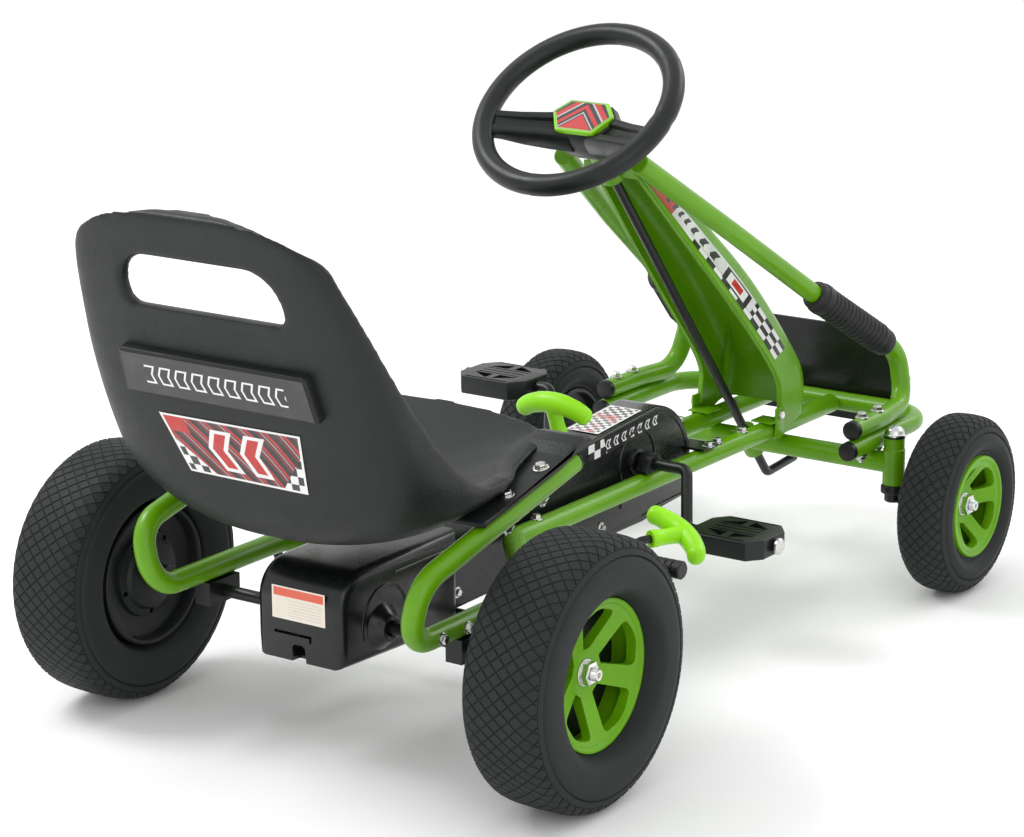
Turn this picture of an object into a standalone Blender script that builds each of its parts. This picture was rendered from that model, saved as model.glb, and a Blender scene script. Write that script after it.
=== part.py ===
"""Child's pedal go-kart: tube frame, bucket seat, four wheels, chain drive, steering and brake.

Metres. +X is the driver's right, +Y is forward, +Z is up, and the tyres stand on z = 0.
Lengths below are measured forward from the rear axle; REAR_AXLE_Y places that axle so that
the origin is under the middle of the kart.
"""

import math

import bmesh
import bpy
from mathutils import Matrix, Vector

# ---------------------------------------------------------------- driving dimensions
REAR_AXLE_Y = -0.3325
WHEELBASE = 0.735
GAP = 0.0003
WHEEL_STEPS = 28

REAR_TYRE_RADIUS = 0.125
REAR_TYRE_WIDTH = 0.086
REAR_TYRE_OUTER_X = 0.3046
REAR_RIM_RADIUS = 0.0696
REAR_RIM_RECESS = 0.0330
REAR_LIP_DEPTH = 0.0155

FRONT_TYRE_RADIUS = 0.0957
FRONT_TYRE_WIDTH = 0.060
FRONT_TYRE_OUTER_X = 0.2866
FRONT_RIM_RADIUS = 0.0546
FRONT_RIM_RECESS = 0.0225
FRONT_LIP_DEPTH = 0.0040

AXLE_RADIUS = 0.006
TUBE_RADIUS = 0.0105

# main tubes: seat rail, hairpin, lower leg and centre rail
SEAT_RAIL_X = 0.160
SEAT_RAIL_FRONT = (0.148, 0.2640)
SEAT_RAIL_SLOPE = 0.2347
HAIRPIN_Y = -0.0900
LEG_X = 0.146
LEG_Z = 0.148
CENTRE_RAIL_X = 0.040
CENTRE_RAIL_Z = 0.1495
LEG_END_Y = 0.095
CENTRE_RAIL_START_Y = 0.220

# front of the frame
HOOP_X = 0.1565
HOOP_Z = 0.150
HOOP_REAR_Y = 0.6775
HOOP_FRONT_Y = 0.857
NOSE_REAR_Y = 0.686
NOSE_LEG_Z = HOOP_Z + 2 * TUBE_RADIUS + GAP
BEAM_RADIUS = 0.0115
BEAM_Z = 0.1270
KINGPIN_X = 0.180
KINGPIN_RADIUS = 0.006
HOUSING_RADIUS = 0.012
HOUSING_LOW_Z = 0.104
HOUSING_HIGH_Z = 0.157

# steering
WHEEL_CENTRE = (0.0, 0.393, 0.542)
COLUMN_TILT = math.radians(39.44)
COLUMN_RADIUS = 0.005
WHEEL_RING_RADIUS = 0.0996
WHEEL_TUBE_RADIUS = 0.0118
HUB_RECESS = 0.018
STEER_ARM = 0.0497
PITMAN_DROP = 0.6353
TIE_EYE_LOW_Z = 0.0885
TIE_EYE_HIGH_Z = 0.0975
TIE_EYE_THICKNESS = 0.005

# drive
CHAIN_PITCH = 0.0127
CRANK_TEETH = 18
AXLE_TEETH = 11
CHAIN_X = -0.010
CRANK_Y = 0.467
CRANK_Z = 0.168
CRANK_THROW = 0.060
CRANK_ANGLE = math.radians(238.5)
CRANK_ARM_X = (0.085, 0.105)
PEDAL_X = 0.165
PEDAL_SIZE = (0.085, 0.072, 0.020)

# casings
GUARD_HALF_WIDTH = 0.0245
GUARD_WALL = 0.002
GUARD_FRONT_CENTRE = (0.4985, 0.1435)
GUARD_FRONT_RADIUS = 0.0745
CASE_HALF_WIDTH = 0.0497
CASE_WALL = 0.003
CASE_REAR_Y = -0.0602
CASE_FRONT_Y = 0.120
CASING_TOP_SLOPE = 0.0828
CASING_TOP_Z_AT_AXLE = 0.1767

# levers
GEAR_LEVER_X = 0.009
GEAR_PIVOT = (0.372, 0.150)
GEAR_HANDLE = (0.336, 0.254)
BRAKE_SHAFT = (0.172, 0.082)
BRAKE_ARM_X = 0.205
BRAKE_PAD_CENTRE = (0.130, 0.187)
BRAKE_PAD_OUTER_X = 0.2905
BRAKE_PAD_RADIUS = 0.0085
BRAKE_ROD_RADIUS = 0.005
BRAKE_HANDLE_CENTRE = (0.207, 0.2620, 0.173)

CHAIN_PLATE_HALF_HEIGHT = 0.004
SPROCKET_THICKNESS = 0.0024


def pitch_radius(teeth):
    """Radius of the circle that a sprocket's chain pins lie on."""
    return CHAIN_PITCH / (2 * math.sin(math.pi / teeth))


# ---------------------------------------------------------------- scene and materials
for old in list(bpy.data.objects):
    bpy.data.objects.remove(old, do_unlink=True)


def new_collection(name):
    collection = bpy.data.collections.new(name)
    bpy.context.scene.collection.children.link(collection)
    return collection


KART = new_collection("pedal_go_kart")
CUTTERS = new_collection("cutters")


def new_material(name, colour, roughness, metallic=0.0):
    material = bpy.data.materials.new(name)
    material.use_nodes = True
    shader = material.node_tree.nodes["Principled BSDF"]
    shader.inputs["Base Color"].default_value = (*colour, 1.0)
    shader.inputs["Roughness"].default_value = roughness
    shader.inputs["Metallic"].default_value = metallic
    material.diffuse_color = (*colour, 1.0)
    return material


GREEN_PAINT = new_material("green_paint", (0.13, 0.42, 0.02), 0.35)
GREEN_PLASTIC = new_material("green_plastic", (0.22, 0.62, 0.04), 0.45)
BLACK_PLASTIC = new_material("black_plastic", (0.03, 0.035, 0.036), 0.45)
BLACK_GLOSS = new_material("black_gloss_plastic", (0.012, 0.014, 0.014), 0.25)
BLACK_STEEL = new_material("black_steel", (0.015, 0.015, 0.016), 0.4, 0.2)
RUBBER = new_material("tyre_rubber", (0.04, 0.043, 0.045), 0.8)
ZINC = new_material("zinc_plate", (0.62, 0.63, 0.64), 0.3, 1.0)
SEAT_PLASTIC = new_material("seat_plastic", (0.035, 0.04, 0.04), 0.5)


def at(x, y, z):
    """World position of a point given forward of the rear axle."""
    return Vector((x, y + REAR_AXLE_Y, z))


# ---------------------------------------------------------------- modelling helpers
def add_object(name, data, material, collection=KART):
    part = bpy.data.objects.new(name, data)
    collection.objects.link(part)
    data.materials.append(material)
    return part


def mesh_object(name, cage, material):
    mesh = bpy.data.meshes.new(name)
    cage.to_mesh(mesh)
    cage.free()
    return add_object(name, mesh, material)


def shade(part, degrees=35):
    part.data.shade_smooth()
    part.data.set_sharp_from_angle(angle=math.radians(degrees))


def box(name, low, high, material):
    """Box between two corners given forward of the rear axle."""
    low = at(*low)
    high = at(*high)
    size = high - low
    cage = bmesh.new()
    place = Matrix.Translation((low + high) / 2) @ Matrix.Diagonal((*size, 1.0))
    bmesh.ops.create_cube(cage, size=1.0, matrix=place)
    return mesh_object(name, cage, material)


def frame_on(start, end):
    """Matrix at the middle of two world points, with local +Z from the first to the second."""
    direction = end - start
    turn = direction.to_track_quat("Z", "Y").to_matrix().to_4x4()
    return Matrix.Translation((start + end) / 2) @ turn


def cylinder(name, start, end, radius, material, segments=16):
    """Round bar between two points given forward of the rear axle."""
    start = at(*start)
    end = at(*end)
    cage = bmesh.new()
    bmesh.ops.create_cone(cage, cap_ends=True, segments=segments, radius1=radius,
                          radius2=radius, depth=(end - start).length, matrix=frame_on(start, end))
    part = mesh_object(name, cage, material)
    shade(part)
    return part


def turned(name, profile, centre, along, material, steps=40):
    """Closed profile of (radius, height) points turned about an axis through centre.

    The profile runs down its outer side, then up its inner side; `along` is the axis. A profile
    that starts and ends on the axis is left open there.
    """
    cage = bmesh.new()
    points = [cage.verts.new((radius, 0.0, height)) for radius, height in profile]
    for point, following in zip(points, points[1:]):
        cage.edges.new((point, following))
    if profile[0][0] > 0:
        cage.edges.new((points[-1], points[0]))
    part = mesh_object(name, cage, material)
    part.location = at(*centre)
    part.rotation_euler = Vector(along).to_track_quat("Z", "Y").to_euler()
    screw = part.modifiers.new("turn", "SCREW")
    screw.steps = steps
    screw.render_steps = steps
    screw.use_merge_vertices = True
    screw.merge_threshold = 0.00001
    screw.use_smooth_shade = True
    return part


def rounded_path(corners, bend_radius, step_degrees=22.5):
    """Points along straight runs joined by arcs of one radius."""
    corners = [Vector(corner) for corner in corners]
    path = [corners[0]]
    for before, corner, after in zip(corners, corners[1:], corners[2:]):
        to_before = (before - corner).normalized()
        to_after = (after - corner).normalized()
        turn = math.pi - to_before.angle(to_after)
        reach = bend_radius * math.tan(turn / 2)
        reach = min(reach, 0.49 * (before - corner).length, 0.49 * (after - corner).length)
        radius = reach / math.tan(turn / 2)
        bisector = (to_before + to_after).normalized()
        centre = corner + bisector * (radius / math.cos(turn / 2))
        first = corner + to_before * reach - centre
        axis = first.cross(corner + to_after * reach - centre).normalized()
        steps = max(2, round(math.degrees(turn) / step_degrees))
        for step in range(steps + 1):
            path.append(centre + Matrix.Rotation(turn * step / steps, 3, axis) @ first)
    path.append(corners[-1])
    return path


def as_mesh(curve_object, flat_caps=False):
    """Replace a curve object by its mesh, with the caps welded on and, if asked, in one piece."""
    bpy.context.view_layer.update()
    evaluated = curve_object.evaluated_get(bpy.context.evaluated_depsgraph_get())
    mesh = bpy.data.meshes.new_from_object(evaluated)
    mesh.name = curve_object.name
    cage = bmesh.new()
    cage.from_mesh(mesh)
    bmesh.ops.remove_doubles(cage, verts=cage.verts, dist=0.00002)
    if flat_caps:
        bmesh.ops.dissolve_limit(cage, angle_limit=math.radians(0.2), verts=cage.verts,
                                 edges=cage.edges)
    bmesh.ops.recalc_face_normals(cage, faces=cage.faces)
    cage.to_mesh(mesh)
    cage.free()
    name = curve_object.name
    place = curve_object.matrix_world.copy()
    bpy.data.objects.remove(curve_object, do_unlink=True)
    part = bpy.data.objects.new(name, mesh)
    KART.objects.link(part)
    part.matrix_world = place
    shade(part)
    return part


def tube(name, corners, radius, material, bend=0.03, sides_resolution=2):
    """Bent round bar through corner points given forward of the rear axle."""
    curve = bpy.data.curves.new(name, "CURVE")
    curve.dimensions = "3D"
    curve.bevel_depth = radius
    curve.bevel_resolution = sides_resolution
    curve.use_fill_caps = True
    spline = curve.splines.new("POLY")
    path = rounded_path([at(*corner) for corner in corners], bend)
    spline.points.add(len(path) - 1)
    for point, place in zip(spline.points, path):
        point.co = (*place, 1.0)
    return as_mesh(add_object(name, curve, material))


PLANES = {
    "YZ": Matrix(((0, 0, 1), (1, 0, 0), (0, 1, 0))).to_4x4(),
    "XY": Matrix.Identity(4),
    "XZ": Matrix(((1, 0, 0), (0, 0, -1), (0, 1, 0))).to_4x4(),
}


def plate(name, outlines, thickness, centre, material, plane="YZ"):
    """Flat piece: closed outlines in a plane, filled and extruded about its centre."""
    curve = bpy.data.curves.new(name, "CURVE")
    curve.dimensions = "2D"
    curve.fill_mode = "BOTH"
    curve.extrude = thickness / 2
    for outline in outlines:
        spline = curve.splines.new("POLY")
        spline.points.add(len(outline) - 1)
        for point, (across, up) in zip(spline.points, outline):
            point.co = (across, up, 0.0, 1.0)
        spline.use_cyclic_u = True
    part = add_object(name, curve, material)
    part.matrix_world = Matrix.Translation(at(*centre)) @ PLANES[plane]
    return as_mesh(part, flat_caps=len(outlines) == 1)


def circle(radius, centre=(0.0, 0.0), count=24):
    angles = [2 * math.pi * index / count for index in range(count)]
    return [(centre[0] + radius * math.cos(a), centre[1] + radius * math.sin(a)) for a in angles]


def arc(centre, radius, start_degrees, end_degrees, steps):
    """Points on an arc in a plane, from one angle to another."""
    points = []
    for step in range(steps + 1):
        angle = math.radians(start_degrees + (end_degrees - start_degrees) * step / steps)
        points.append((centre[0] + radius * math.cos(angle), centre[1] + radius * math.sin(angle)))
    return points


def boolean(part, tools, operation):
    for tool in tools:
        for collection in list(tool.users_collection):
            collection.objects.unlink(tool)
        CUTTERS.objects.link(tool)
        tool.hide_render = True
        tool.display_type = "WIRE"
        tool.name = "tool_" + tool.name
        step = part.modifiers.new(operation.lower(), "BOOLEAN")
        step.operation = operation
        step.object = tool
    return part


def cut(part, *tools):
    return boolean(part, tools, "DIFFERENCE")


def join(part, *tools):
    return boolean(part, tools, "UNION")


def bevel(part, width, segments=2, degrees=35):
    step = part.modifiers.new("bevel", "BEVEL")
    step.width = width
    step.segments = segments
    step.limit_method = "ANGLE"
    step.angle_limit = math.radians(degrees)
    return part


def side_name(stem, side):
    return stem + ("_right" if side > 0 else "_left")


# ---------------------------------------------------------------- frame
def seat_rail_z(y):
    """Height of a seat rail's centre line."""
    front_y, front_z = SEAT_RAIL_FRONT
    return front_z + SEAT_RAIL_SLOPE * (y - front_y)


def build_main_tube(side):
    """One bent tube: seat rail, rear hairpin, lower leg and centre rail up to the hoop."""
    corners = [
        (side * SEAT_RAIL_X, SEAT_RAIL_FRONT[0], SEAT_RAIL_FRONT[1]),
        (side * SEAT_RAIL_X, HAIRPIN_Y, seat_rail_z(HAIRPIN_Y)),
        (side * LEG_X, HAIRPIN_Y, LEG_Z),
        (side * LEG_X, LEG_END_Y, LEG_Z),
        (side * CENTRE_RAIL_X, CENTRE_RAIL_START_Y, CENTRE_RAIL_Z),
        (side * CENTRE_RAIL_X, HOOP_FRONT_Y - TUBE_RADIUS - GAP, CENTRE_RAIL_Z),
    ]
    tube(side_name("main_tube", side), corners, TUBE_RADIUS, GREEN_PAINT, bend=0.031)


def build_front_hoop():
    """Flat bumper hoop: two side runs that point back and a bowed front run."""
    corners = [
        (HOOP_X, HOOP_REAR_Y, HOOP_Z),
        (HOOP_X, HOOP_FRONT_Y, HOOP_Z),
        (-HOOP_X, HOOP_FRONT_Y, HOOP_Z),
        (-HOOP_X, HOOP_REAR_Y, HOOP_Z),
    ]
    tube("front_hoop", corners, TUBE_RADIUS, GREEN_PAINT, bend=0.045)


def on_column(distance, across=0.0):
    """Point on the steering column's axis, or off it by `across` in the upward-forward sense."""
    x, y, z = WHEEL_CENTRE
    down_y = math.sin(COLUMN_TILT)
    down_z = -math.cos(COLUMN_TILT)
    return (x, y + distance * down_y - across * down_z, z + distance * down_z + across * down_y)


def build_front_beam():
    """Front axle beam with a kingpin housing at each end and the column's lower bush."""
    end_x = KINGPIN_X
    beam = cylinder("front_axle_beam", (-end_x, WHEELBASE, BEAM_Z), (end_x, WHEELBASE, BEAM_Z),
                    BEAM_RADIUS, GREEN_PAINT)
    centre = (BEAM_Z - WHEEL_CENTRE[2]) / -math.cos(COLUMN_TILT)
    join(beam, cylinder("column_bush", on_column(centre - 0.0165), on_column(centre + 0.0205),
                        0.0118, GREEN_PAINT))
    for side in (1, -1):
        x = side * KINGPIN_X
        join(beam, cylinder(side_name("housing", side), (x, WHEELBASE, HOUSING_LOW_Z),
                            (x, WHEELBASE, HOUSING_HIGH_Z), HOUSING_RADIUS, GREEN_PAINT, 16))
        cut(beam, cylinder(side_name("kingpin_bore", side), (x, WHEELBASE, 0.09),
                           (x, WHEELBASE, 0.17), KINGPIN_RADIUS + 2 * GAP, GREEN_PAINT, 16))
    cut(beam, cylinder("column_bore", on_column(centre - 0.04), on_column(centre + 0.04),
                       COLUMN_RADIUS + 2 * GAP, GREEN_PAINT))


NOSE_TOP = (0.0450, 0.4350, 0.4850)
NOSE_MIDDLE = (0.0725, 0.5626, 0.4000)
GRIP_TOP = (0.095, 0.6975, 0.3117)
GRIP_BOTTOM = (0.130, 0.8085, 0.2355)


def build_nose_tube(side):
    """Tube from the steering head down through its grip to a leg bolted on the hoop."""
    corners = [
        NOSE_TOP,
        NOSE_MIDDLE,
        GRIP_TOP,
        (0.1345, 0.8220, 0.2260),
        (0.1470, 0.8150, NOSE_LEG_Z),
        (HOOP_X, 0.7500, NOSE_LEG_Z),
        (HOOP_X, NOSE_REAR_Y, NOSE_LEG_Z),
    ]
    corners = [(side * x, y, z) for x, y, z in corners]
    tube(side_name("nose_tube", side), corners, TUBE_RADIUS, GREEN_PAINT, bend=0.03)


def build_nose_grip(side):
    """Rubber sleeve on the nose tube."""
    top = Vector((side * GRIP_TOP[0], GRIP_TOP[1], GRIP_TOP[2]))
    bottom = Vector((side * GRIP_BOTTOM[0], GRIP_BOTTOM[1], GRIP_BOTTOM[2]))
    half = (top - bottom).length / 2 - 0.006
    bore = TUBE_RADIUS + 0.0012
    outer = 0.0172
    profile = [(outer - 0.003, half)]
    profile += [(outer, half - 0.004), (outer, 0.004 - half)]
    profile += [(outer - 0.003, -half), (bore, -half), (bore, half)]
    centre = (top + bottom) / 2
    turned(side_name("nose_grip", side), profile, centre, top - bottom, RUBBER, steps=16)


TOWER_SECTIONS = (
    # rear edge y, rear edge z, front edge y, front edge z, half-width
    (0.7060, 0.1400, 0.7680, 0.1640, 0.0530),
    (0.7120, 0.1800, 0.7700, 0.2000, 0.0525),
    (0.7025, 0.2170, 0.7500, 0.2350, 0.0500),
    (0.6253, 0.3000, 0.6680, 0.3250, 0.0452),
    (0.5420, 0.3840, 0.5780, 0.4040, 0.0370),
    (0.4979, 0.4300, 0.5250, 0.4460, 0.0315),
    (0.4496, 0.4800, 0.4680, 0.4940, 0.0257),
)


def build_tower():
    """Pressed channel that carries the column: two side panels and a front wall, open behind."""
    cage = bmesh.new()
    rows = []
    for rear_y, rear_z, front_y, front_z, half in TOWER_SECTIONS:
        inner = 0.72 * half
        row = []
        for x, blend in ((-half, 0.0), (-half, 0.86), (-inner, 1.0), (inner, 1.0),
                         (half, 0.86), (half, 0.0)):
            y = rear_y + (front_y - rear_y) * blend
            z = rear_z + (front_z - rear_z) * blend
            row.append(cage.verts.new(at(x, y, z)))
        rows.append(row)
    for low, high in zip(rows, rows[1:]):
        for index in range(len(low) - 1):
            cage.faces.new((low[index], low[index + 1], high[index + 1], high[index]))
    bmesh.ops.recalc_face_normals(cage, faces=cage.faces)
    tower = mesh_object("steering_tower", cage, GREEN_PAINT)
    shell = tower.modifiers.new("sheet", "SOLIDIFY")
    shell.thickness = 0.0018
    shell.offset = 0.0
    shell.use_even_offset = True
    shade(tower, 30)
    rail_slot = 0.0118
    for side in (1, -1):
        x = side * CENTRE_RAIL_X
        notch = cylinder(side_name("rail_notch", side), (x, 0.60, CENTRE_RAIL_Z),
                         (x, 0.86, CENTRE_RAIL_Z), rail_slot, GREEN_PAINT, 24)
        cut(tower, notch)
    beam_clearance = box("beam_notch", (-0.08, WHEELBASE - 0.0125, 0.10),
                         (0.08, WHEELBASE + 0.0125, BEAM_Z + 0.0125), GREEN_PAINT)
    cut(tower, beam_clearance)


HEAD_RADIUS = 0.0125
HEAD_SPAN = (0.0625, 0.1025)


def build_head_bush():
    """Upper column bearing: a short tube on the column's axis."""
    start, end = HEAD_SPAN
    middle = on_column((start + end) / 2)
    half = (end - start) / 2
    bore = COLUMN_RADIUS + 2 * GAP
    profile = [(HEAD_RADIUS, half), (HEAD_RADIUS, -half), (bore, -half), (bore, half)]
    along = Vector(on_column(0.0)) - Vector(on_column(1.0))
    turned("head_bush", profile, middle, along, GREEN_PAINT, steps=24)


def build_nose_panel():
    """Bowed shield on the front of the hoop."""
    top_z = 0.236
    outline = [
        (-0.062, 0.127), (0.062, 0.127), (0.088, 0.142), (0.112, 0.160), (0.128, 0.182),
        (0.112, 0.214), (0.070, top_z), (-0.070, top_z), (-0.112, 0.214), (-0.128, 0.182),
        (-0.112, 0.160), (-0.088, 0.142),
    ]
    y = HOOP_FRONT_Y + TUBE_RADIUS + 0.0005 + 0.0015
    plate("nose_panel", [outline], 0.003, (0, y, 0), BLACK_GLOSS, plane="XZ")


def build_tube_caps(side):
    """Plastic end caps of the hoop and the nose tube."""
    for stem, rear_y, z in (("hoop_cap", HOOP_REAR_Y, HOOP_Z), ("nose_cap", NOSE_REAR_Y, NOSE_LEG_Z)):
        start = (side * HOOP_X, rear_y - GAP, z)
        end = (side * HOOP_X, rear_y - GAP - 0.006, z)
        cap = cylinder(side_name(stem, side), start, end, TUBE_RADIUS - 0.0002, BLACK_PLASTIC, 16)
        bevel(cap, 0.002)


def build_axle_bearing(side):
    """Block bolted under the lower leg that carries the rear axle."""
    x = side * LEG_X
    block = box(side_name("axle_bearing", side), (x - 0.009, -0.022, 0.1145),
                (x + 0.009, 0.022, LEG_Z - TUBE_RADIUS - GAP), BLACK_STEEL)
    cut(block, cylinder(side_name("axle_bore", side), (x - 0.02, 0, REAR_TYRE_RADIUS),
                        (x + 0.02, 0, REAR_TYRE_RADIUS), AXLE_RADIUS + GAP, BLACK_STEEL))


def build_crank_bearing(side):
    """Block on top of the centre rail that carries the crank."""
    x = side * CENTRE_RAIL_X
    block = box(side_name("crank_bearing", side), (x - 0.009, CRANK_Y - 0.019, CENTRE_RAIL_Z + 0.0108),
                (x + 0.009, CRANK_Y + 0.019, CRANK_Z + 0.014), BLACK_STEEL)
    cut(block, cylinder(side_name("crank_bore", side), (x - 0.02, CRANK_Y, CRANK_Z),
                        (x + 0.02, CRANK_Y, CRANK_Z), AXLE_RADIUS + GAP, BLACK_STEEL))


def build_brake_hanger(side):
    """Hanger under the frame that carries the brake shaft."""
    x = side * 0.0824
    shaft_y, shaft_z = BRAKE_SHAFT
    hanger = box(side_name("brake_hanger", side), (x - 0.006, shaft_y - 0.011, shaft_z - 0.011),
                 (x + 0.006, shaft_y + 0.011, LEG_Z - TUBE_RADIUS - 2 * GAP), BLACK_STEEL)
    cut(hanger, cylinder(side_name("hanger_bore", side), (x - 0.02, shaft_y, shaft_z),
                         (x + 0.02, shaft_y, shaft_z), BRAKE_ROD_RADIUS + GAP, BLACK_STEEL))


# ---------------------------------------------------------------- casings and chain
def casing_top_z(y):
    return CASING_TOP_Z_AT_AXLE + CASING_TOP_SLOPE * y


def guard_outline(inset, rear_y):
    """Side outline of the front casing, moved inwards by a wall thickness."""
    centre_y, centre_z = GUARD_FRONT_CENTRE
    bottom_rear_z = 0.0945
    top_angle = 90 + math.degrees(math.atan(-CASING_TOP_SLOPE))
    outline = [(rear_y, casing_top_z(rear_y) - inset)]
    outline += [(rear_y, bottom_rear_z + inset)]
    outline += [(0.430, 0.0990 + inset)]
    outline += arc((0.480, 0.1435), 0.0445 - inset, -92, -62, 2)
    outline += arc((centre_y, centre_z), GUARD_FRONT_RADIUS - inset, -28, top_angle, 9)
    return outline


def build_chain_guard():
    """Front casing over the chainring, open to the rear, with a tab on each centre rail."""
    guard = plate("chain_guard", [guard_outline(0.0, CASE_FRONT_Y + GAP)], 2 * GUARD_HALF_WIDTH,
                  (0, 0, 0), BLACK_GLOSS)
    bevel(guard, 0.003)
    tab = box("guard_tab", (-0.050, 0.556, CENTRE_RAIL_Z + TUBE_RADIUS + GAP),
              (0.050, 0.586, CENTRE_RAIL_Z + TUBE_RADIUS + GAP + 0.0025), BLACK_GLOSS)
    join(guard, tab)
    inner = plate("guard_hollow", [guard_outline(GUARD_WALL, CASE_FRONT_Y - 0.02)],
                  2 * (GUARD_HALF_WIDTH - GUARD_WALL), (0, 0, 0), BLACK_GLOSS)
    cut(guard, inner)
    cut(guard, cylinder("guard_crank_hole", (-0.05, CRANK_Y, CRANK_Z), (0.05, CRANK_Y, CRANK_Z),
                        AXLE_RADIUS + 0.0020, BLACK_GLOSS))
    slot_y = GEAR_PIVOT[0] - 0.008
    cut(guard, box("gear_slot", (GEAR_LEVER_X - 0.0075, slot_y - 0.026, 0.185),
                   (GEAR_LEVER_X + 0.0075, slot_y + 0.022, 0.230), BLACK_GLOSS))
    pivot_y, pivot_z = GEAR_PIVOT
    cut(guard, cylinder("gear_pin_hole", (0.015, pivot_y, pivot_z), (0.05, pivot_y, pivot_z),
                        0.0035, BLACK_GLOSS))


def case_outline(inset, front_y):
    """Side outline of the rear casing."""
    bottom_z = 0.0935
    rear_y = CASE_REAR_Y
    outline = [(front_y, casing_top_z(CASE_FRONT_Y) - inset)]
    outline += [(-0.015, casing_top_z(CASE_FRONT_Y) - inset)]
    outline += arc((rear_y + 0.036, 0.1500), 0.036 - inset, 90, 180, 4)
    outline += [(rear_y + inset, 0.0965 + inset), (0.035, bottom_z + inset)]
    outline += [(front_y, 0.0950 + inset)]
    return outline


def build_chain_case():
    """Wide rear casing round the axle sprocket, open to the front."""
    case = plate("chain_case", [case_outline(0.0, CASE_FRONT_Y)], 2 * CASE_HALF_WIDTH,
                 (0, 0, 0), BLACK_GLOSS)
    bevel(case, 0.012, 3)
    hollow = plate("case_hollow", [case_outline(CASE_WALL, CASE_FRONT_Y + 0.03)],
                   2 * (CASE_HALF_WIDTH - CASE_WALL), (0, 0, 0), BLACK_GLOSS)
    bevel(hollow, 0.009, 3)
    cut(case, hollow)
    cut(case, cylinder("case_axle_hole", (-0.08, 0, REAR_TYRE_RADIUS), (0.08, 0, REAR_TYRE_RADIUS),
                       AXLE_RADIUS + 0.002, BLACK_GLOSS))


def belt_outline(offset, rear_steps=10, front_steps=12):
    """Outline of a belt round both sprockets, at a distance outside their pitch circles."""
    small = pitch_radius(AXLE_TEETH)
    large = pitch_radius(CRANK_TEETH)
    across = CRANK_Y
    rise = CRANK_Z - REAR_TYRE_RADIUS
    distance = math.hypot(across, rise)
    lean = math.degrees(math.atan2(rise, across))
    taper = math.degrees(math.asin((large - small) / distance))
    top = 90 + taper + lean
    bottom = -90 - taper + lean
    outline = arc((CRANK_Y, CRANK_Z), large + offset, bottom, top, front_steps)
    outline += arc((0.0, REAR_TYRE_RADIUS), small + offset, top, bottom + 360, rear_steps)
    return outline


def build_chain():
    """Roller chain as one closed loop whose side plates straddle the sprocket teeth."""
    half = CHAIN_PLATE_HALF_HEIGHT
    chain = plate("drive_chain", [belt_outline(half), belt_outline(-half)], 0.0080,
                  (CHAIN_X, 0, 0), BLACK_STEEL)
    groove = plate("chain_groove", [belt_outline(0.0022), belt_outline(-half - 0.002)], 0.0046,
                   (CHAIN_X, 0, 0), BLACK_STEEL)
    cut(chain, groove)


def build_sprocket(name, teeth, centre):
    """Toothed disc with a hub bore."""
    outer = pitch_radius(teeth) + 0.0010
    root = pitch_radius(teeth) - 0.0036
    outline = []
    for tooth in range(teeth):
        for share, radius in ((0.10, root), (0.36, outer), (0.64, outer), (0.90, root)):
            angle = 2 * math.pi * (tooth + share) / teeth
            outline.append((radius * math.cos(angle), radius * math.sin(angle)))
    bore = circle(AXLE_RADIUS + GAP, count=20)
    plate(name, [outline, bore], SPROCKET_THICKNESS, (CHAIN_X, centre[0], centre[1]), BLACK_STEEL)


# ---------------------------------------------------------------- wheels
def build_wheel(stem, side, y, radius, width, outer_x, rim_radius, recess, lip_depth):
    """Tyre, five-spoke rim and hub nut of one wheel."""
    centre_x = side * (outer_x - width / 2)
    centre = (centre_x, y, radius)
    half = width / 2
    shoulder = 0.011
    bore = rim_radius + GAP
    crown = radius
    tyre_profile = [
        (bore, half - lip_depth - 0.001),
        (rim_radius + 0.012, half),
        (crown - 0.026, half),
        (crown, half - shoulder),
        (crown, -half + shoulder),
        (crown - 0.026, -half),
        (rim_radius + 0.008, -half),
        (bore, -half + 0.006),
    ]
    along = (side, 0, 0)
    turned(stem + "_tyre", tyre_profile, centre, along, RUBBER, steps=WHEEL_STEPS)

    face = half - recess
    hub_radius = 0.0155
    lip = half - lip_depth
    rim_profile = [
        (rim_radius, lip),
        (rim_radius, -half + 0.0065),
        (AXLE_RADIUS + GAP, -half + 0.0065),
        (AXLE_RADIUS + GAP, face),
        (hub_radius + 0.002, face),
        (rim_radius - 0.0105, max(face, lip - 0.0025)),
        (rim_radius - 0.006, lip),
    ]
    rim = turned(stem + "_rim", rim_profile, centre, along, GREEN_PAINT, steps=WHEEL_STEPS)
    floor_x = centre_x + side * (-half + 0.012)
    top_x = centre_x + side * (half + 0.01)
    inner_r = hub_radius + 0.006
    outer_r = rim_radius - 0.010
    spokes = 5
    for window in range(spokes):
        middle = 90 + 360 * window / spokes
        outline = arc((0, 0), outer_r, middle - 21, middle + 21, 4)
        outline += arc((0, 0), inner_r, middle + 13, middle - 13, 1)
        pocket = plate(f"{stem}_window_{window}", [outline], abs(top_x - floor_x),
                       ((top_x + floor_x) / 2, y, radius), GREEN_PAINT)
        cut(rim, pocket)

    nut_start = centre_x + side * (face + GAP)
    nut_end = nut_start + side * 0.0085
    nut = cylinder(stem + "_hub_nut", (nut_start, y, radius), (nut_end, y, radius), 0.0095, ZINC, 6)
    bevel(nut, 0.0012, 1)
    return centre_x + side * (face - 0.0005)


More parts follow.
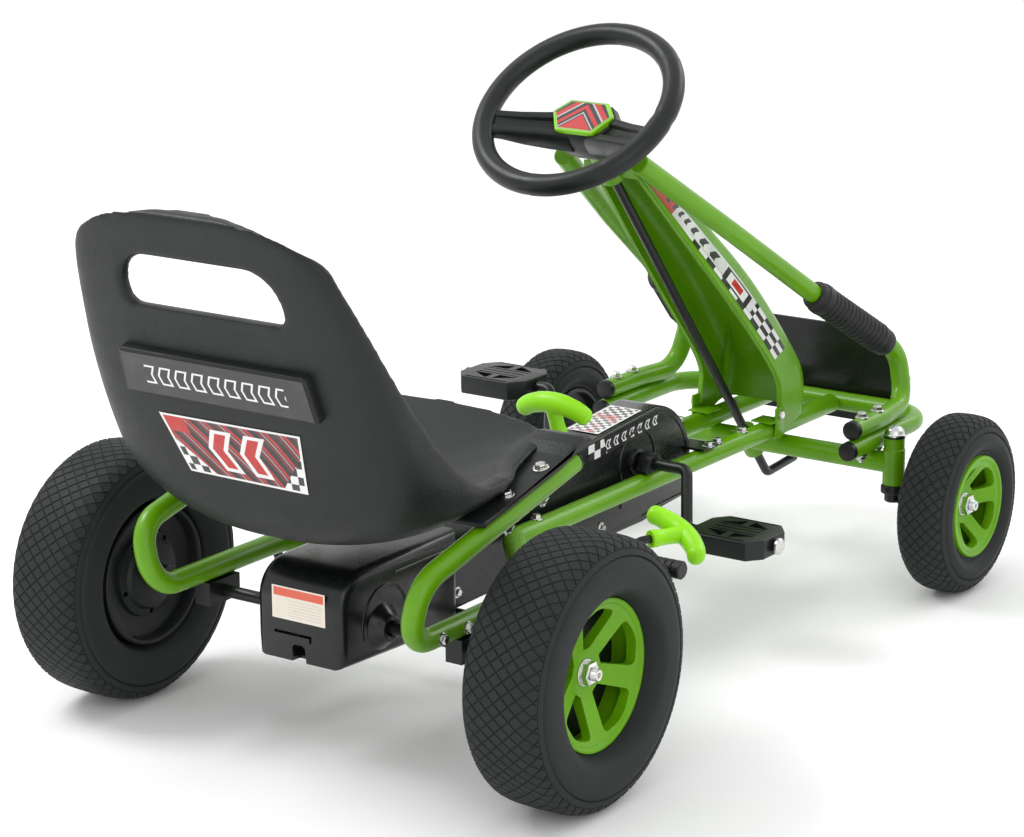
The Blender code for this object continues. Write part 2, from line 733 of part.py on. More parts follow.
# ---------------------------------------------------------------- steering
def build_knuckle(side):
    """Kingpin, flange, stub axle and forward steering arm."""
    x = side * KINGPIN_X
    name = side_name("steering_knuckle", side)
    flange = cylinder(name, (x, WHEELBASE, 0.083), (x, WHEELBASE, HOUSING_LOW_Z - 0.0005),
                      HOUSING_RADIUS, BLACK_STEEL, 16)
    join(flange, cylinder(side_name("kingpin", side), (x, WHEELBASE, 0.090),
                          (x, WHEELBASE, HOUSING_HIGH_Z), KINGPIN_RADIUS, BLACK_STEEL, 16))
    stub_end = side * (FRONT_TYRE_OUTER_X - FRONT_RIM_RECESS - 0.0005)
    join(flange, cylinder(side_name("stub_axle", side), (x, WHEELBASE, FRONT_TYRE_RADIUS),
                          (stub_end, WHEELBASE, FRONT_TYRE_RADIUS), AXLE_RADIUS, BLACK_STEEL, 16))
    arm_y = WHEELBASE + STEER_ARM
    join(flange, box(side_name("steering_arm", side), (x - 0.0065, WHEELBASE, 0.0832),
                     (x + 0.0065, arm_y + 0.006, 0.0878), BLACK_STEEL))
    join(flange, cylinder(side_name("arm_stud", side), (x, arm_y, 0.085), (x, arm_y, 0.1045),
                          0.0030, BLACK_STEEL, 12))
    nut = turned(side_name("kingpin_nut", side),
                 [(0.0060, 0.0067), (0.0105, 0.0045), (0.0112, -0.0060), (0.0040, -0.0060),
                  (0.0040, 0.0067)],
                 (x, WHEELBASE, HOUSING_HIGH_Z + 0.0065), (0, 0, 1), ZINC, steps=16)
    return nut


def build_tie_rod(side, eye_z):
    """Flat-eyed link from a knuckle's arm to the column's crank pin."""
    name = side_name("tie_rod", side)
    middle_z = eye_z + TIE_EYE_THICKNESS / 2
    pin = on_column(PITMAN_DROP, STEER_ARM)
    outer = Vector((side * KINGPIN_X, WHEELBASE + STEER_ARM, middle_z))
    inner = Vector((0.0, pin[1], middle_z))
    along = (inner - outer).normalized()
    rod = cylinder(name, outer + along * 0.006, inner - along * 0.0115, 0.0026, BLACK_STEEL, 12)
    join(rod, plate(name + "_outer_eye", [circle(0.0080, (outer.x, outer.y + REAR_AXLE_Y), 16)],
                    TIE_EYE_THICKNESS, (0, -REAR_AXLE_Y, middle_z), BLACK_STEEL, "XY"))
    join(rod, plate(name + "_inner_eye", [circle(0.0135, (0.0, inner.y + REAR_AXLE_Y), 16)],
                    TIE_EYE_THICKNESS, (0, -REAR_AXLE_Y, middle_z), BLACK_STEEL, "XY"))
    cut(rod, cylinder(name + "_outer_bore", (outer.x, outer.y, 0.07), (outer.x, outer.y, 0.12),
                      0.0034, BLACK_STEEL, 12))
    cut(rod, cylinder(name + "_inner_bore", (0.0, inner.y, 0.07), (0.0, inner.y, 0.12),
                      0.0098, BLACK_STEEL, 16))


def build_column():
    """Steering column rod with its lower crank and crank pin."""
    pin = on_column(PITMAN_DROP, STEER_ARM)
    column = tube("steering_column", [on_column(0.052), on_column(0.600), pin], COLUMN_RADIUS,
                  BLACK_STEEL, bend=0.012)
    join(column, cylinder("pitman_pin", (pin[0], pin[1] - 0.0005, pin[2] - 0.002),
                          (pin[0], pin[1] - 0.0005, 0.106), 0.0030, BLACK_STEEL, 16))


def steering_space():
    """Matrix of the steering wheel's own frame: +Z to the driver, +Y forward and up."""
    return Matrix.Translation(at(*WHEEL_CENTRE)) @ Matrix.Rotation(COLUMN_TILT, 4, "X")


def in_wheel_frame(part):
    part.matrix_world = steering_space() @ part.matrix_world
    return part


def local_box(name, low, high, material):
    """Box given in the steering wheel's own frame."""
    cage = bmesh.new()
    size = [h - l for l, h in zip(low, high)]
    middle = [(h + l) / 2 for l, h in zip(low, high)]
    place = Matrix.Translation(middle) @ Matrix.Diagonal((*size, 1.0))
    bmesh.ops.create_cube(cage, size=1.0, matrix=place)
    return in_wheel_frame(mesh_object(name, cage, material))


BADGE_OUTLINE = ((-0.036, 0.003), (-0.022, 0.020), (0.022, 0.020), (0.036, 0.003), (0.022, -0.020),
                 (-0.022, -0.020))


def build_steering_wheel():
    """Ring, two spokes and a sunk hub, with the badge plate on top."""
    bpy.ops.mesh.primitive_torus_add(major_radius=WHEEL_RING_RADIUS, minor_radius=WHEEL_TUBE_RADIUS,
                                     major_segments=32, minor_segments=8)
    ring = bpy.context.object
    ring.name = "steering_wheel"
    ring.data.materials.append(BLACK_PLASTIC)
    for collection in list(ring.users_collection):
        collection.objects.unlink(ring)
    KART.objects.link(ring)
    ring.matrix_world = steering_space()
    shade(ring)

    hub_top = -HUB_RECESS
    hub = turned("wheel_hub", [(0.0, 0.0), (0.0300, 0.0), (0.0270, -0.014), (0.0150, -0.040),
                               (0.0, -0.040)], (0, 0, 0), (0, 0, 1), BLACK_PLASTIC, steps=24)
    hub.matrix_world = steering_space() @ Matrix.Translation((0, 0, hub_top))
    join(ring, hub)
    for side in (1, -1):
        spoke = local_box(side_name("spoke", side), (0.010, -0.0125, -0.006),
                          (WHEEL_RING_RADIUS - 0.001, 0.0125, 0.006), BLACK_PLASTIC)
        droop = math.radians(-18)
        turn = Matrix.Rotation(droop, 4, "Z")
        if side < 0:
            turn = Matrix.Rotation(math.pi - droop, 4, "Z")
        rise = Matrix.Translation((0, 0, -0.0195)) @ Matrix.Rotation(math.radians(-9), 4, "Y")
        spoke.matrix_world = steering_space() @ turn @ rise
        bevel(spoke, 0.003)
        join(ring, spoke)
    pocket = plate("badge_pocket", [[(x * 1.02, y * 1.03) for x, y in BADGE_OUTLINE]], 0.030,
                   (0, -REAR_AXLE_Y, 0), BLACK_PLASTIC, "XY")
    pocket.matrix_world = steering_space() @ Matrix.Translation((0, 0, hub_top + 0.015))
    cut(ring, pocket)
    bore = cylinder("hub_bore", on_column(0.050), on_column(0.075), COLUMN_RADIUS + GAP, BLACK_PLASTIC)
    cut(ring, bore)

    cap = plate("hub_badge", [BADGE_OUTLINE], 0.006, (0, -REAR_AXLE_Y, 0), GREEN_PLASTIC, "XY")
    cap.matrix_world = steering_space() @ Matrix.Translation((0, 0, hub_top + 0.003 + GAP))
    bevel(cap, 0.0015)


# ---------------------------------------------------------------- drive
def crank_pin(side):
    """Centre of a pedal's pin, to the side and away from the crank's axis."""
    return (side * PEDAL_X, CRANK_Y + side * CRANK_THROW * math.cos(CRANK_ANGLE),
            CRANK_Z + side * CRANK_THROW * math.sin(CRANK_ANGLE))


def build_crank():
    """Bent crank: right pedal pin, arm, axle, arm and left pedal pin."""
    inner, outer = CRANK_ARM_X
    reach = PEDAL_X + PEDAL_SIZE[0] / 2 + 0.004
    corners = []
    for side in (1, -1):
        _, pin_y, pin_z = crank_pin(side)
        half = [(side * reach, pin_y, pin_z), (side * outer, pin_y, pin_z),
                (side * inner, CRANK_Y, CRANK_Z)]
        corners += half if side > 0 else half[::-1]
    tube("crank", corners, AXLE_RADIUS, BLACK_STEEL, bend=0.010, sides_resolution=3)


def build_pedal(side):
    """Block pedal with cut corners and four triangular windows."""
    x, y, z = crank_pin(side)
    half_x = PEDAL_SIZE[0] / 2
    half_y = PEDAL_SIZE[1] / 2
    outline = [(-half_x, -0.020), (-0.030, -half_y), (0.030, -half_y), (half_x, -0.020),
               (half_x, 0.020), (0.030, half_y), (-0.030, half_y), (-half_x, 0.020)]
    pedal = plate(side_name("pedal", side), [outline], PEDAL_SIZE[2], (x, y, z), BLACK_PLASTIC, "XY")
    bevel(pedal, 0.0015, 1)
    for column in (-1, 1):
        for row in (-1, 1):
            window = [(column * 0.004, row * 0.013), (column * 0.029, row * 0.013),
                      (column * 0.004, row * 0.029)]
            if column * row < 0:
                window.reverse()
            name = f"{side_name('pedal_window', side)}_{column}_{row}"
            cut(pedal, plate(name, [window], 0.05, (x, y, z), BLACK_PLASTIC, "XY"))
    cut(pedal, cylinder(side_name("pedal_bore", side), (x - 0.06, y, z), (x + 0.06, y, z),
                        AXLE_RADIUS + GAP, BLACK_PLASTIC))


def build_rear_axle(ends):
    low, high = sorted(ends)
    cylinder("rear_axle", (low, 0, REAR_TYRE_RADIUS), (high, 0, REAR_TYRE_RADIUS), AXLE_RADIUS,
             BLACK_STEEL, 20)


# ---------------------------------------------------------------- levers
def build_t_handle(name, centre, crossbar, stem, bore_radius):
    """T grip: a drooping crossbar on a short socket that takes the lever's rod.

    crossbar and stem are directions; stem points from the socket's mouth to the crossbar.
    """
    centre = Vector(centre)
    crossbar = Vector(crossbar).normalized()
    stem = Vector(stem).normalized()
    path = []
    for along, drop in ((-0.041, 0.013), (-0.030, 0.002), (0.0, -0.003), (0.030, 0.002), (0.041, 0.013)):
        path.append(tuple(centre + crossbar * along - stem * drop))
    grip = tube(name, path, 0.0098, GREEN_PLASTIC, bend=0.02)
    socket = cylinder(name + "_socket", centre - stem * 0.036, centre + stem * 0.002, 0.0085, GREEN_PLASTIC)
    join(grip, socket)
    cut(grip, cylinder(name + "_bore", centre - stem * 0.05, centre - stem * 0.012, bore_radius,
                       GREEN_PLASTIC))


def build_gear_lever():
    """Clutch lever: a rod that pivots inside the casing and its T handle."""
    pivot_y, pivot_z = GEAR_PIVOT
    handle_y, handle_z = GEAR_HANDLE
    pivot = Vector((GEAR_LEVER_X, pivot_y, pivot_z))
    handle = Vector((GEAR_LEVER_X, handle_y, handle_z))
    stem = (handle - pivot).normalized()
    rod = cylinder("gear_lever", pivot - stem * 0.006, handle - stem * 0.0130, 0.0040, BLACK_STEEL, 16)
    join(rod, cylinder("gear_pin", (GEAR_LEVER_X - 0.005, pivot_y, pivot_z),
                       (GUARD_HALF_WIDTH - 0.0005, pivot_y, pivot_z), 0.0030, BLACK_STEEL, 16))
    build_t_handle("gear_handle", handle, (1, 0, 0), stem, 0.0043)


def build_brake():
    """Brake shaft with a bent arm and pad each side, and the hand lever on the right."""
    shaft_y, shaft_z = BRAKE_SHAFT
    pad_y, pad_z = BRAKE_PAD_CENTRE
    corners = []
    for side in (-1, 1):
        half = [(side * (BRAKE_PAD_OUTER_X - 0.004), pad_y, pad_z), (side * BRAKE_ARM_X, pad_y, pad_z),
                (side * BRAKE_ARM_X, shaft_y, shaft_z)]
        corners += half if side < 0 else half[::-1]
    bar = tube("brake_bar", corners, BRAKE_ROD_RADIUS, BLACK_STEEL, bend=0.010)
    centre = Vector(BRAKE_HANDLE_CENTRE)
    stem = Vector((0.40, 0.91, -0.03)).normalized()
    crossbar = Vector((0.87, -0.36, -0.32))
    lever_end = centre - stem * 0.0130
    lever = tube("brake_lever_rod", [(0.165, shaft_y, shaft_z), (0.171, 0.200, 0.154),
                                     tuple(centre - stem * 0.048), tuple(lever_end)],
                 0.0040, BLACK_STEEL, bend=0.012)
    join(bar, lever)
    build_t_handle("brake_handle", centre, crossbar, stem, 0.0043)
    for side in (1, -1):
        half = (BRAKE_PAD_OUTER_X - 0.2225) / 2
        middle = side * (BRAKE_PAD_OUTER_X + 0.2225) / 2
        end_wall = 0.0035
        profile = [(0.0, half), (BRAKE_PAD_RADIUS, half), (BRAKE_PAD_RADIUS, -half),
                   (BRAKE_ROD_RADIUS + GAP, -half), (BRAKE_ROD_RADIUS + GAP, half - end_wall),
                   (0.0, half - end_wall)]
        turned(side_name("brake_pad", side), profile, (middle, pad_y, pad_z), (side, 0, 0), RUBBER,
               steps=20)


# ---------------------------------------------------------------- seat
SEAT_STATIONS = (
    # centre y, centre z, rim y, rim z, half-width, squareness of the section (1 is an ellipse);
    # the outer surface from the back's top down to the front of the pan
    (-0.2054, 0.5345, -0.2034, 0.5335, 0.0640, 0.60),
    (-0.2038, 0.5280, -0.1983, 0.5260, 0.0940, 0.60),
    (-0.2006, 0.5180, -0.1906, 0.5150, 0.1170, 0.50),
    (-0.1956, 0.5030, -0.1771, 0.5020, 0.1361, 0.45),
    (-0.1880, 0.4780, -0.1680, 0.4800, 0.1455, 0.45),
    (-0.1730, 0.4330, -0.1480, 0.4420, 0.1555, 0.45),
    (-0.1570, 0.3800, -0.1220, 0.3960, 0.1642, 0.45),
    (-0.1410, 0.3280, -0.0890, 0.3500, 0.1690, 0.45),
    (-0.1260, 0.2800, -0.0520, 0.3080, 0.1710, 0.50),
    (-0.1130, 0.2450, -0.0200, 0.2850, 0.1700, 0.70),
    (-0.0900, 0.2240, 0.0060, 0.2750, 0.1690, 0.90),
    (-0.0350, 0.2220, 0.0380, 0.2760, 0.1690, 1.00),
    (0.0300, 0.2330, 0.0750, 0.2800, 0.1690, 1.00),
    (0.1000, 0.2500, 0.1150, 0.2880, 0.1680, 1.00),
    (0.1480, 0.2640, 0.1480, 0.2890, 0.1600, 1.00),
    (0.1760, 0.2760, 0.1700, 0.2850, 0.1420, 1.00),
)
SEAT_THICKNESS = 0.015
SEAT_COLUMNS = 6
HANDLE_HOLE_HALF_WIDTH = 0.080
HANDLE_HOLE_LOW_Z = 0.4475
HANDLE_HOLE_TOP_Z = 0.4895
HANDLE_HOLE_CORNER = 0.031


def build_seat():
    """Moulded bucket seat: a curved shell with a handle hole and a flange on each rail."""
    cage = bmesh.new()
    rows = []
    for centre_y, centre_z, rim_y, rim_z, half, squareness in SEAT_STATIONS:
        row = []
        for column in range(-SEAT_COLUMNS, SEAT_COLUMNS + 1):
            angle = math.pi / 2 * abs(column) / SEAT_COLUMNS
            across = math.sin(angle) ** squareness
            rise = 1 - max(0.0, math.cos(angle)) ** squareness
            x = math.copysign(half * across, column)
            y = centre_y + (rim_y - centre_y) * rise
            z = centre_z + (rim_z - centre_z) * rise
            row.append(cage.verts.new(at(x, y, z)))
        rows.append(row)
    for upper, lower in zip(rows, rows[1:]):
        for index in range(len(upper) - 1):
            cage.faces.new((upper[index], lower[index], lower[index + 1], upper[index + 1]))
    seat = mesh_object("seat_shell", cage, SEAT_PLASTIC)
    wall = seat.modifiers.new("wall", "SOLIDIFY")
    wall.thickness = SEAT_THICKNESS
    wall.offset = -1.0
    wall.use_even_offset = False
    shade(seat, 50)
    for side in (1, -1):
        rear_y = -0.020
        front_y = 0.160
        lift = TUBE_RADIUS * math.sqrt(1 + SEAT_RAIL_SLOPE ** 2) + 0.0006
        outline = [(rear_y, seat_rail_z(rear_y) + lift), (front_y, seat_rail_z(front_y) + lift),
                   (0.163, 0.286), (0.140, 0.2930), (0.115, 0.2900), (0.040, 0.2680), (0.0, 0.2600)]
        flange = plate(side_name("seat_flange", side), [outline], 0.034, (side * 0.1530, 0, 0),
                       SEAT_PLASTIC)
        bevel(flange, 0.003)
        join(seat, flange)
    half_width = HANDLE_HOLE_HALF_WIDTH
    corner = HANDLE_HOLE_CORNER
    corner_x = half_width - corner
    corner_z = HANDLE_HOLE_TOP_Z - corner
    outline = [(-half_width, HANDLE_HOLE_LOW_Z), (half_width, HANDLE_HOLE_LOW_Z)]
    outline += arc((corner_x, corner_z), corner, 0, 90, 5)
    outline += arc((-corner_x, corner_z), corner, 90, 180, 5)
    hole = plate("handle_hole", [outline], 0.2, (0, -0.19, 0), SEAT_PLASTIC, "XZ")
    cut(seat, hole)


def build_seat_badge():
    """Raised bar across the back of the seat."""
    lean = math.atan2(0.0159, 0.0500)
    cage = bmesh.new()
    place = Matrix.Translation(at(0.0, -0.1577, 0.3815)) @ Matrix.Rotation(lean, 4, "X")
    place = place @ Matrix.Translation((0, -0.0040, 0)) @ Matrix.Diagonal((0.212, 0.0062, 0.044, 1.0))
    bmesh.ops.create_cube(cage, size=1.0, matrix=place)
    badge = mesh_object("seat_back_bar", cage, BLACK_PLASTIC)
    bevel(badge, 0.002)


# ---------------------------------------------------------------- assembly
for hand in (1, -1):
    build_main_tube(hand)
    build_nose_tube(hand)
    build_nose_grip(hand)
    build_tube_caps(hand)
    build_axle_bearing(hand)
    build_crank_bearing(hand)
    build_brake_hanger(hand)
    build_knuckle(hand)
    build_pedal(hand)
build_front_hoop()
build_front_beam()
build_tower()
build_head_bush()
build_nose_panel()
build_chain_guard()
build_chain_case()
build_chain()
build_sprocket("rear_sprocket", AXLE_TEETH, (0.0, REAR_TYRE_RADIUS))
build_sprocket("chainring", CRANK_TEETH, (CRANK_Y, CRANK_Z))
build_crank()
axle_ends = []
for hand in (1, -1):
    axle_ends.append(build_wheel(side_name("rear", hand), hand, 0.0, REAR_TYRE_RADIUS, REAR_TYRE_WIDTH,
                                 REAR_TYRE_OUTER_X, REAR_RIM_RADIUS, REAR_RIM_RECESS,
                                 REAR_LIP_DEPTH))
    build_wheel(side_name("front", hand), hand, WHEELBASE, FRONT_TYRE_RADIUS, FRONT_TYRE_WIDTH,
                FRONT_TYRE_OUTER_X, FRONT_RIM_RADIUS, FRONT_RIM_RECESS, FRONT_LIP_DEPTH)
build_rear_axle(axle_ends)
build_tie_rod(1, TIE_EYE_HIGH_Z)
build_tie_rod(-1, TIE_EYE_LOW_Z)
build_column()
build_steering_wheel()
build_gear_lever()
build_brake()
build_seat()
build_seat_badge()
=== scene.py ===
"""Looks of a child's pedal go-kart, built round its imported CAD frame.

Metres. +X is the driver's right, +Y is forward and +Z is up. Positions are written forward of
the rear axle, and at() moves them into the row's frame.
"""

import math

import bmesh
import bpy
from mathutils import Matrix, Vector
from mathutils.bvhtree import BVHTree


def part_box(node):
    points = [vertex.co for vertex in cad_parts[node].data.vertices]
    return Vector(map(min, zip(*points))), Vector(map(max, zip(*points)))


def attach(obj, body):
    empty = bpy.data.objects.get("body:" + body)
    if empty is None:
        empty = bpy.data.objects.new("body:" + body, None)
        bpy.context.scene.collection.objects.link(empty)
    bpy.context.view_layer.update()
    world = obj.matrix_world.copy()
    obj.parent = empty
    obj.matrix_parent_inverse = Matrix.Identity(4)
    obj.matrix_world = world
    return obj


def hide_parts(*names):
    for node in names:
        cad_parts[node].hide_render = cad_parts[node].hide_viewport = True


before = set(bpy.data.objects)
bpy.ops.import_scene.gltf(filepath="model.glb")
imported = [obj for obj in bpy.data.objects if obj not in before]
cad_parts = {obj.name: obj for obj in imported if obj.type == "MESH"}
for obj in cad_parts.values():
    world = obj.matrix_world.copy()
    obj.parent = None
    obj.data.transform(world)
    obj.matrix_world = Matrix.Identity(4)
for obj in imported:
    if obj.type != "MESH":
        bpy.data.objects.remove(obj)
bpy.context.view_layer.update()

# ---------------------------------------------------------------- dimensions shared with the CAD
axle_low, axle_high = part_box("rear_axle")
REAR_AXLE_Y = (axle_low.y + axle_high.y) / 2
WHEELBASE = 0.735

REAR_WHEEL = {"radius": 0.125, "width": 0.086, "outer_x": 0.3046, "rim": 0.0696, "recess": 0.0330,
              "lip": 0.0155, "pitches": 58, "rows": 5}
FRONT_WHEEL = {"radius": 0.0957, "width": 0.060, "outer_x": 0.2866, "rim": 0.0546, "recess": 0.0225,
               "lip": 0.0040, "pitches": 46, "rows": 4}
AXLE_RADIUS = 0.006
AXLE_BORE = AXLE_RADIUS + 0.0003
TUBE_RADIUS = 0.0105
HOOP_X = 0.1565
HOOP_Z = 0.150
HOOP_FRONT_Y = 0.857
HOOP_REAR_Y = 0.6775
NOSE_LEG_Z = HOOP_Z + 2 * TUBE_RADIUS + 0.0003
SEAT_RAIL_X = 0.160
LEG_X = 0.146
LEG_Z = 0.148
RAIL_SLOPE = 0.2347
RAIL_FRONT = (0.148, 0.2640)
CENTRE_RAIL_X = 0.040
CENTRE_RAIL_Z = 0.1495
KINGPIN_X = 0.180
WHEEL_CENTRE = Vector((0.0, 0.393, 0.542))
COLUMN_TILT = math.radians(39.44)
CRANK_Y = 0.467
CRANK_Z = 0.168
CRANK_THROW = 0.060
CRANK_ANGLE = math.radians(238.5)
PEDAL_X = 0.165


def at(x, y, z):
    """Row-frame position of a point given forward of the rear axle."""
    return Vector((x, y + REAR_AXLE_Y, z))


# ---------------------------------------------------------------- camera, floor and light
def build_camera():
    """Camera at the right rear, a little above, as the kart is usually pictured."""
    azimuth = math.radians(35.032)
    drop = math.radians(15.479)
    forward = Vector((-math.sin(azimuth) * math.cos(drop), math.cos(azimuth) * math.cos(drop),
                      -math.sin(drop)))
    data = bpy.data.cameras.new("camera")
    camera = bpy.data.objects.new("camera", data)
    bpy.context.scene.collection.objects.link(camera)
    facing = forward.to_track_quat("-Z", "Y").to_matrix().to_4x4()
    roll = Matrix.Rotation(math.radians(-0.278), 4, "Z")
    camera.matrix_world = Matrix.Translation(at(1.70532, -2.15197, 1.04988)) @ facing @ roll
    data.sensor_width = 36.0
    data.lens = 110.3
    data.shift_x = -0.0015
    data.shift_y = 0.0229
    data.clip_end = 60.0
    bpy.context.scene.camera = camera


def add_light(name, place, size, power, target=(0.0, 0.0, 0.25)):
    data = bpy.data.lights.new(name, "AREA")
    data.shape = "RECTANGLE"
    data.size, data.size_y = size
    data.energy = power
    light = bpy.data.objects.new(name, data)
    bpy.context.scene.collection.objects.link(light)
    light.location = place
    light.rotation_euler = (Vector(target) - Vector(place)).to_track_quat("-Z", "Y").to_euler()


def build_studio():
    """White surroundings, three soft lights and a pale floor."""
    world = bpy.data.worlds.new("studio")
    world.use_nodes = True
    world.node_tree.nodes["Background"].inputs["Color"].default_value = (1.0, 1.0, 1.0, 1.0)
    world.node_tree.nodes["Background"].inputs["Strength"].default_value = 1.0
    bpy.context.scene.world = world
    bpy.context.scene.view_settings.view_transform = "Standard"
    add_light("key", (-1.9, -0.9, 2.6), (1.2, 1.2), 46.0)
    add_light("fill", (2.8, -2.2, 1.6), (1.6, 2.2), 12.0)
    add_light("rim", (1.2, 3.0, 2.2), (2.2, 1.2), 22.0)

    mesh = bpy.data.meshes.new("floor")
    reach = 30.0
    corners = [(-reach, -reach, 0), (reach, -reach, 0), (reach, reach, 0), (-reach, reach, 0)]
    mesh.from_pydata(corners, [], [(0, 1, 2, 3)])
    floor = bpy.data.objects.new("floor", mesh)
    floor.location.z = -0.0004
    bpy.context.scene.collection.objects.link(floor)
    material = bpy.data.materials.new("floor_paper")
    material.use_nodes = True
    shader = material.node_tree.nodes["Principled BSDF"]
    shader.inputs["Base Color"].default_value = (0.97, 0.97, 0.97, 1.0)
    shader.inputs["Roughness"].default_value = 0.9
    shader.inputs["Specular IOR Level"].default_value = 0.1
    mesh.materials.append(material)


# ---------------------------------------------------------------- material nodes
class Graph:
    """Short names for building one material's nodes."""

    def __init__(self, name):
        self.material = bpy.data.materials.new(name)
        self.material.use_nodes = True
        self.tree = self.material.node_tree
        self.shader = self.tree.nodes["Principled BSDF"]

    def node(self, kind, **settings):
        node = self.tree.nodes.new("ShaderNode" + kind)
        for key, value in settings.items():
            setattr(node, key, value)
        return node

    def plug(self, value, socket):
        if isinstance(value, bpy.types.NodeSocket):
            self.tree.links.new(value, socket)
        else:
            socket.default_value = value

    def math(self, operation, first, second=0.0):
        node = self.node("Math", operation=operation)
        for socket, value in zip(node.inputs, (first, second)):
            self.plug(value, socket)
        return node.outputs[0]

    def plus(self, first, second):
        return self.math("ADD", first, second)

    def minus(self, first, second):
        return self.math("SUBTRACT", first, second)

    def times(self, first, second):
        return self.math("MULTIPLY", first, second)

    def below(self, first, second):
        return self.math("LESS_THAN", first, second)

    def above(self, first, second):
        return self.math("GREATER_THAN", first, second)

    def mix(self, amount, first, second):
        """Blend of two colours."""
        node = self.node("Mix", data_type="RGBA")
        self.plug(amount, node.inputs["Factor"])
        for socket, value in ((node.inputs[6], first), (node.inputs[7], second)):
            self.plug(value if isinstance(value, bpy.types.NodeSocket) else (*value, 1.0), socket)
        return node.outputs[2]

    def noise(self, scale, detail=3.0, roughness=0.5):
        node = self.node("TexNoise")
        node.inputs["Scale"].default_value = scale
        node.inputs["Detail"].default_value = detail
        node.inputs["Roughness"].default_value = roughness
        self.plug(self.object_space(), node.inputs["Vector"])
        return node.outputs["Fac"]

    def object_space(self):
        if not hasattr(self, "coordinates"):
            self.coordinates = self.node("TexCoord")
        return self.coordinates.outputs["Object"]

    def uv(self):
        self.object_space()
        split = self.node("SeparateXYZ")
        self.tree.links.new(self.coordinates.outputs["UV"], split.inputs[0])
        return split.outputs["X"], split.outputs["Y"]

    def ramp(self, value, low, high, out_low, out_high):
        node = self.node("MapRange")
        for socket, item in zip(node.inputs, (value, low, high, out_low, out_high)):
            self.plug(item, socket)
        return node.outputs[0]

    def bump(self, height, strength, distance):
        node = self.node("Bump")
        node.inputs["Strength"].default_value = strength
        node.inputs["Distance"].default_value = distance
        self.plug(height, node.inputs["Height"])
        return node.outputs["Normal"]

    def finish(self, colour, roughness, normal=None, metallic=0.0, coat=0.0, coat_roughness=0.1,
               specular=0.5):
        self.plug(colour if isinstance(colour, bpy.types.NodeSocket) else (*colour, 1.0),
                  self.shader.inputs["Base Color"])
        self.plug(roughness, self.shader.inputs["Roughness"])
        self.shader.inputs["Metallic"].default_value = metallic
        self.shader.inputs["Coat Weight"].default_value = coat
        self.shader.inputs["Coat Roughness"].default_value = coat_roughness
        self.shader.inputs["Specular IOR Level"].default_value = specular
        if normal is not None:
            self.plug(normal, self.shader.inputs["Normal"])
        return self.material


def scaled(colour, factor):
    return tuple(channel * factor for channel in colour)


def coated_steel(name, colour, roughness, coat):
    """Powder-coated steel: faint cloudiness, orange peel and dust in the roughness."""
    graph = Graph(name)
    clouds = graph.noise(14.0, 4.0)
    tint = graph.mix(graph.ramp(clouds, 0.35, 0.65, 0.0, 1.0), scaled(colour, 0.90),
                     scaled(colour, 1.08))
    peel = graph.noise(900.0, 1.0)
    scuff = graph.noise(60.0, 6.0, 0.7)
    rough = graph.ramp(scuff, 0.3, 0.75, roughness - 0.05, roughness + 0.09)
    normal = graph.bump(peel, 0.10, 0.0004)
    return graph.finish(tint, rough, normal, coat=coat, coat_roughness=0.12, specular=0.32)


def moulded_plastic(name, colour, roughness, grain_scale, grain_depth, coat, specular):
    """Injection-moulded plastic: fine spark-eroded grain with slow colour drift."""
    graph = Graph(name)
    drift = graph.noise(9.0, 3.0)
    tint = graph.mix(graph.ramp(drift, 0.3, 0.7, 0.0, 1.0), scaled(colour, 0.86),
                     scaled(colour, 1.14))
    grain = graph.node("TexVoronoi", feature="SMOOTH_F1")
    grain.inputs["Scale"].default_value = grain_scale
    graph.plug(graph.object_space(), grain.inputs["Vector"])
    fine = graph.noise(grain_scale * 1.7, 2.0)
    height = graph.plus(grain.outputs["Distance"], graph.times(fine, 0.5))
    rough = graph.ramp(graph.noise(35.0, 5.0, 0.65), 0.3, 0.75, roughness - 0.06, roughness + 0.08)
    normal = graph.bump(height, 0.35, grain_depth)
    return graph.finish(tint, rough, normal, coat=coat, coat_roughness=0.2, specular=specular)


def zinc_plate():
    """Bright zinc plate with a yellow-blue passivation bloom and fine machining marks."""
    graph = Graph("zinc_plate")
    bloom = graph.noise(70.0, 3.0)
    tint = graph.mix(graph.ramp(bloom, 0.35, 0.65, 0.0, 1.0), (0.55, 0.58, 0.62), (0.78, 0.76, 0.68))
    rough = graph.ramp(graph.noise(240.0, 4.0, 0.7), 0.3, 0.7, 0.16, 0.36)
    normal = graph.bump(graph.noise(700.0, 2.0), 0.15, 0.0003)
    return graph.finish(tint, rough, normal, metallic=1.0)


def tyre_rubber(name, colour):
    """Rubber with mould grit and dust that lies in broad faint patches."""
    graph = Graph(name)
    dust = graph.ramp(graph.noise(26.0, 5.0, 0.65), 0.35, 0.75, 0.0, 1.0)
    tint = graph.mix(dust, scaled(colour, 0.85), scaled(colour, 1.25))
    grit = graph.noise(520.0, 3.0, 0.6)
    normal = graph.bump(grit, 0.30, 0.0004)
    return graph.finish(tint, graph.ramp(dust, 0.0, 1.0, 0.58, 0.76), normal, specular=0.22)


def grip_rubber():
    graph = Graph("grip_rubber")
    tint = graph.mix(graph.noise(40.0, 4.0), (0.0060, 0.0068, 0.0068), (0.014, 0.0155, 0.0155))
    normal = graph.bump(graph.noise(600.0, 2.0), 0.3, 0.0004)
    rough = graph.ramp(graph.noise(80.0, 4.0), 0.3, 0.7, 0.42, 0.60)
    return graph.finish(tint, rough, normal, specular=0.4)


RED = (0.50, 0.014, 0.010)
DARK_RED = (0.16, 0.018, 0.018)
INK = (0.012, 0.012, 0.013)
WHITE = (0.80, 0.80, 0.79)
SILVER = (0.42, 0.43, 0.45)


def inside(graph, value, low, high):
    """1 where a value lies between two limits."""
    return graph.times(graph.above(value, low), graph.below(value, high))


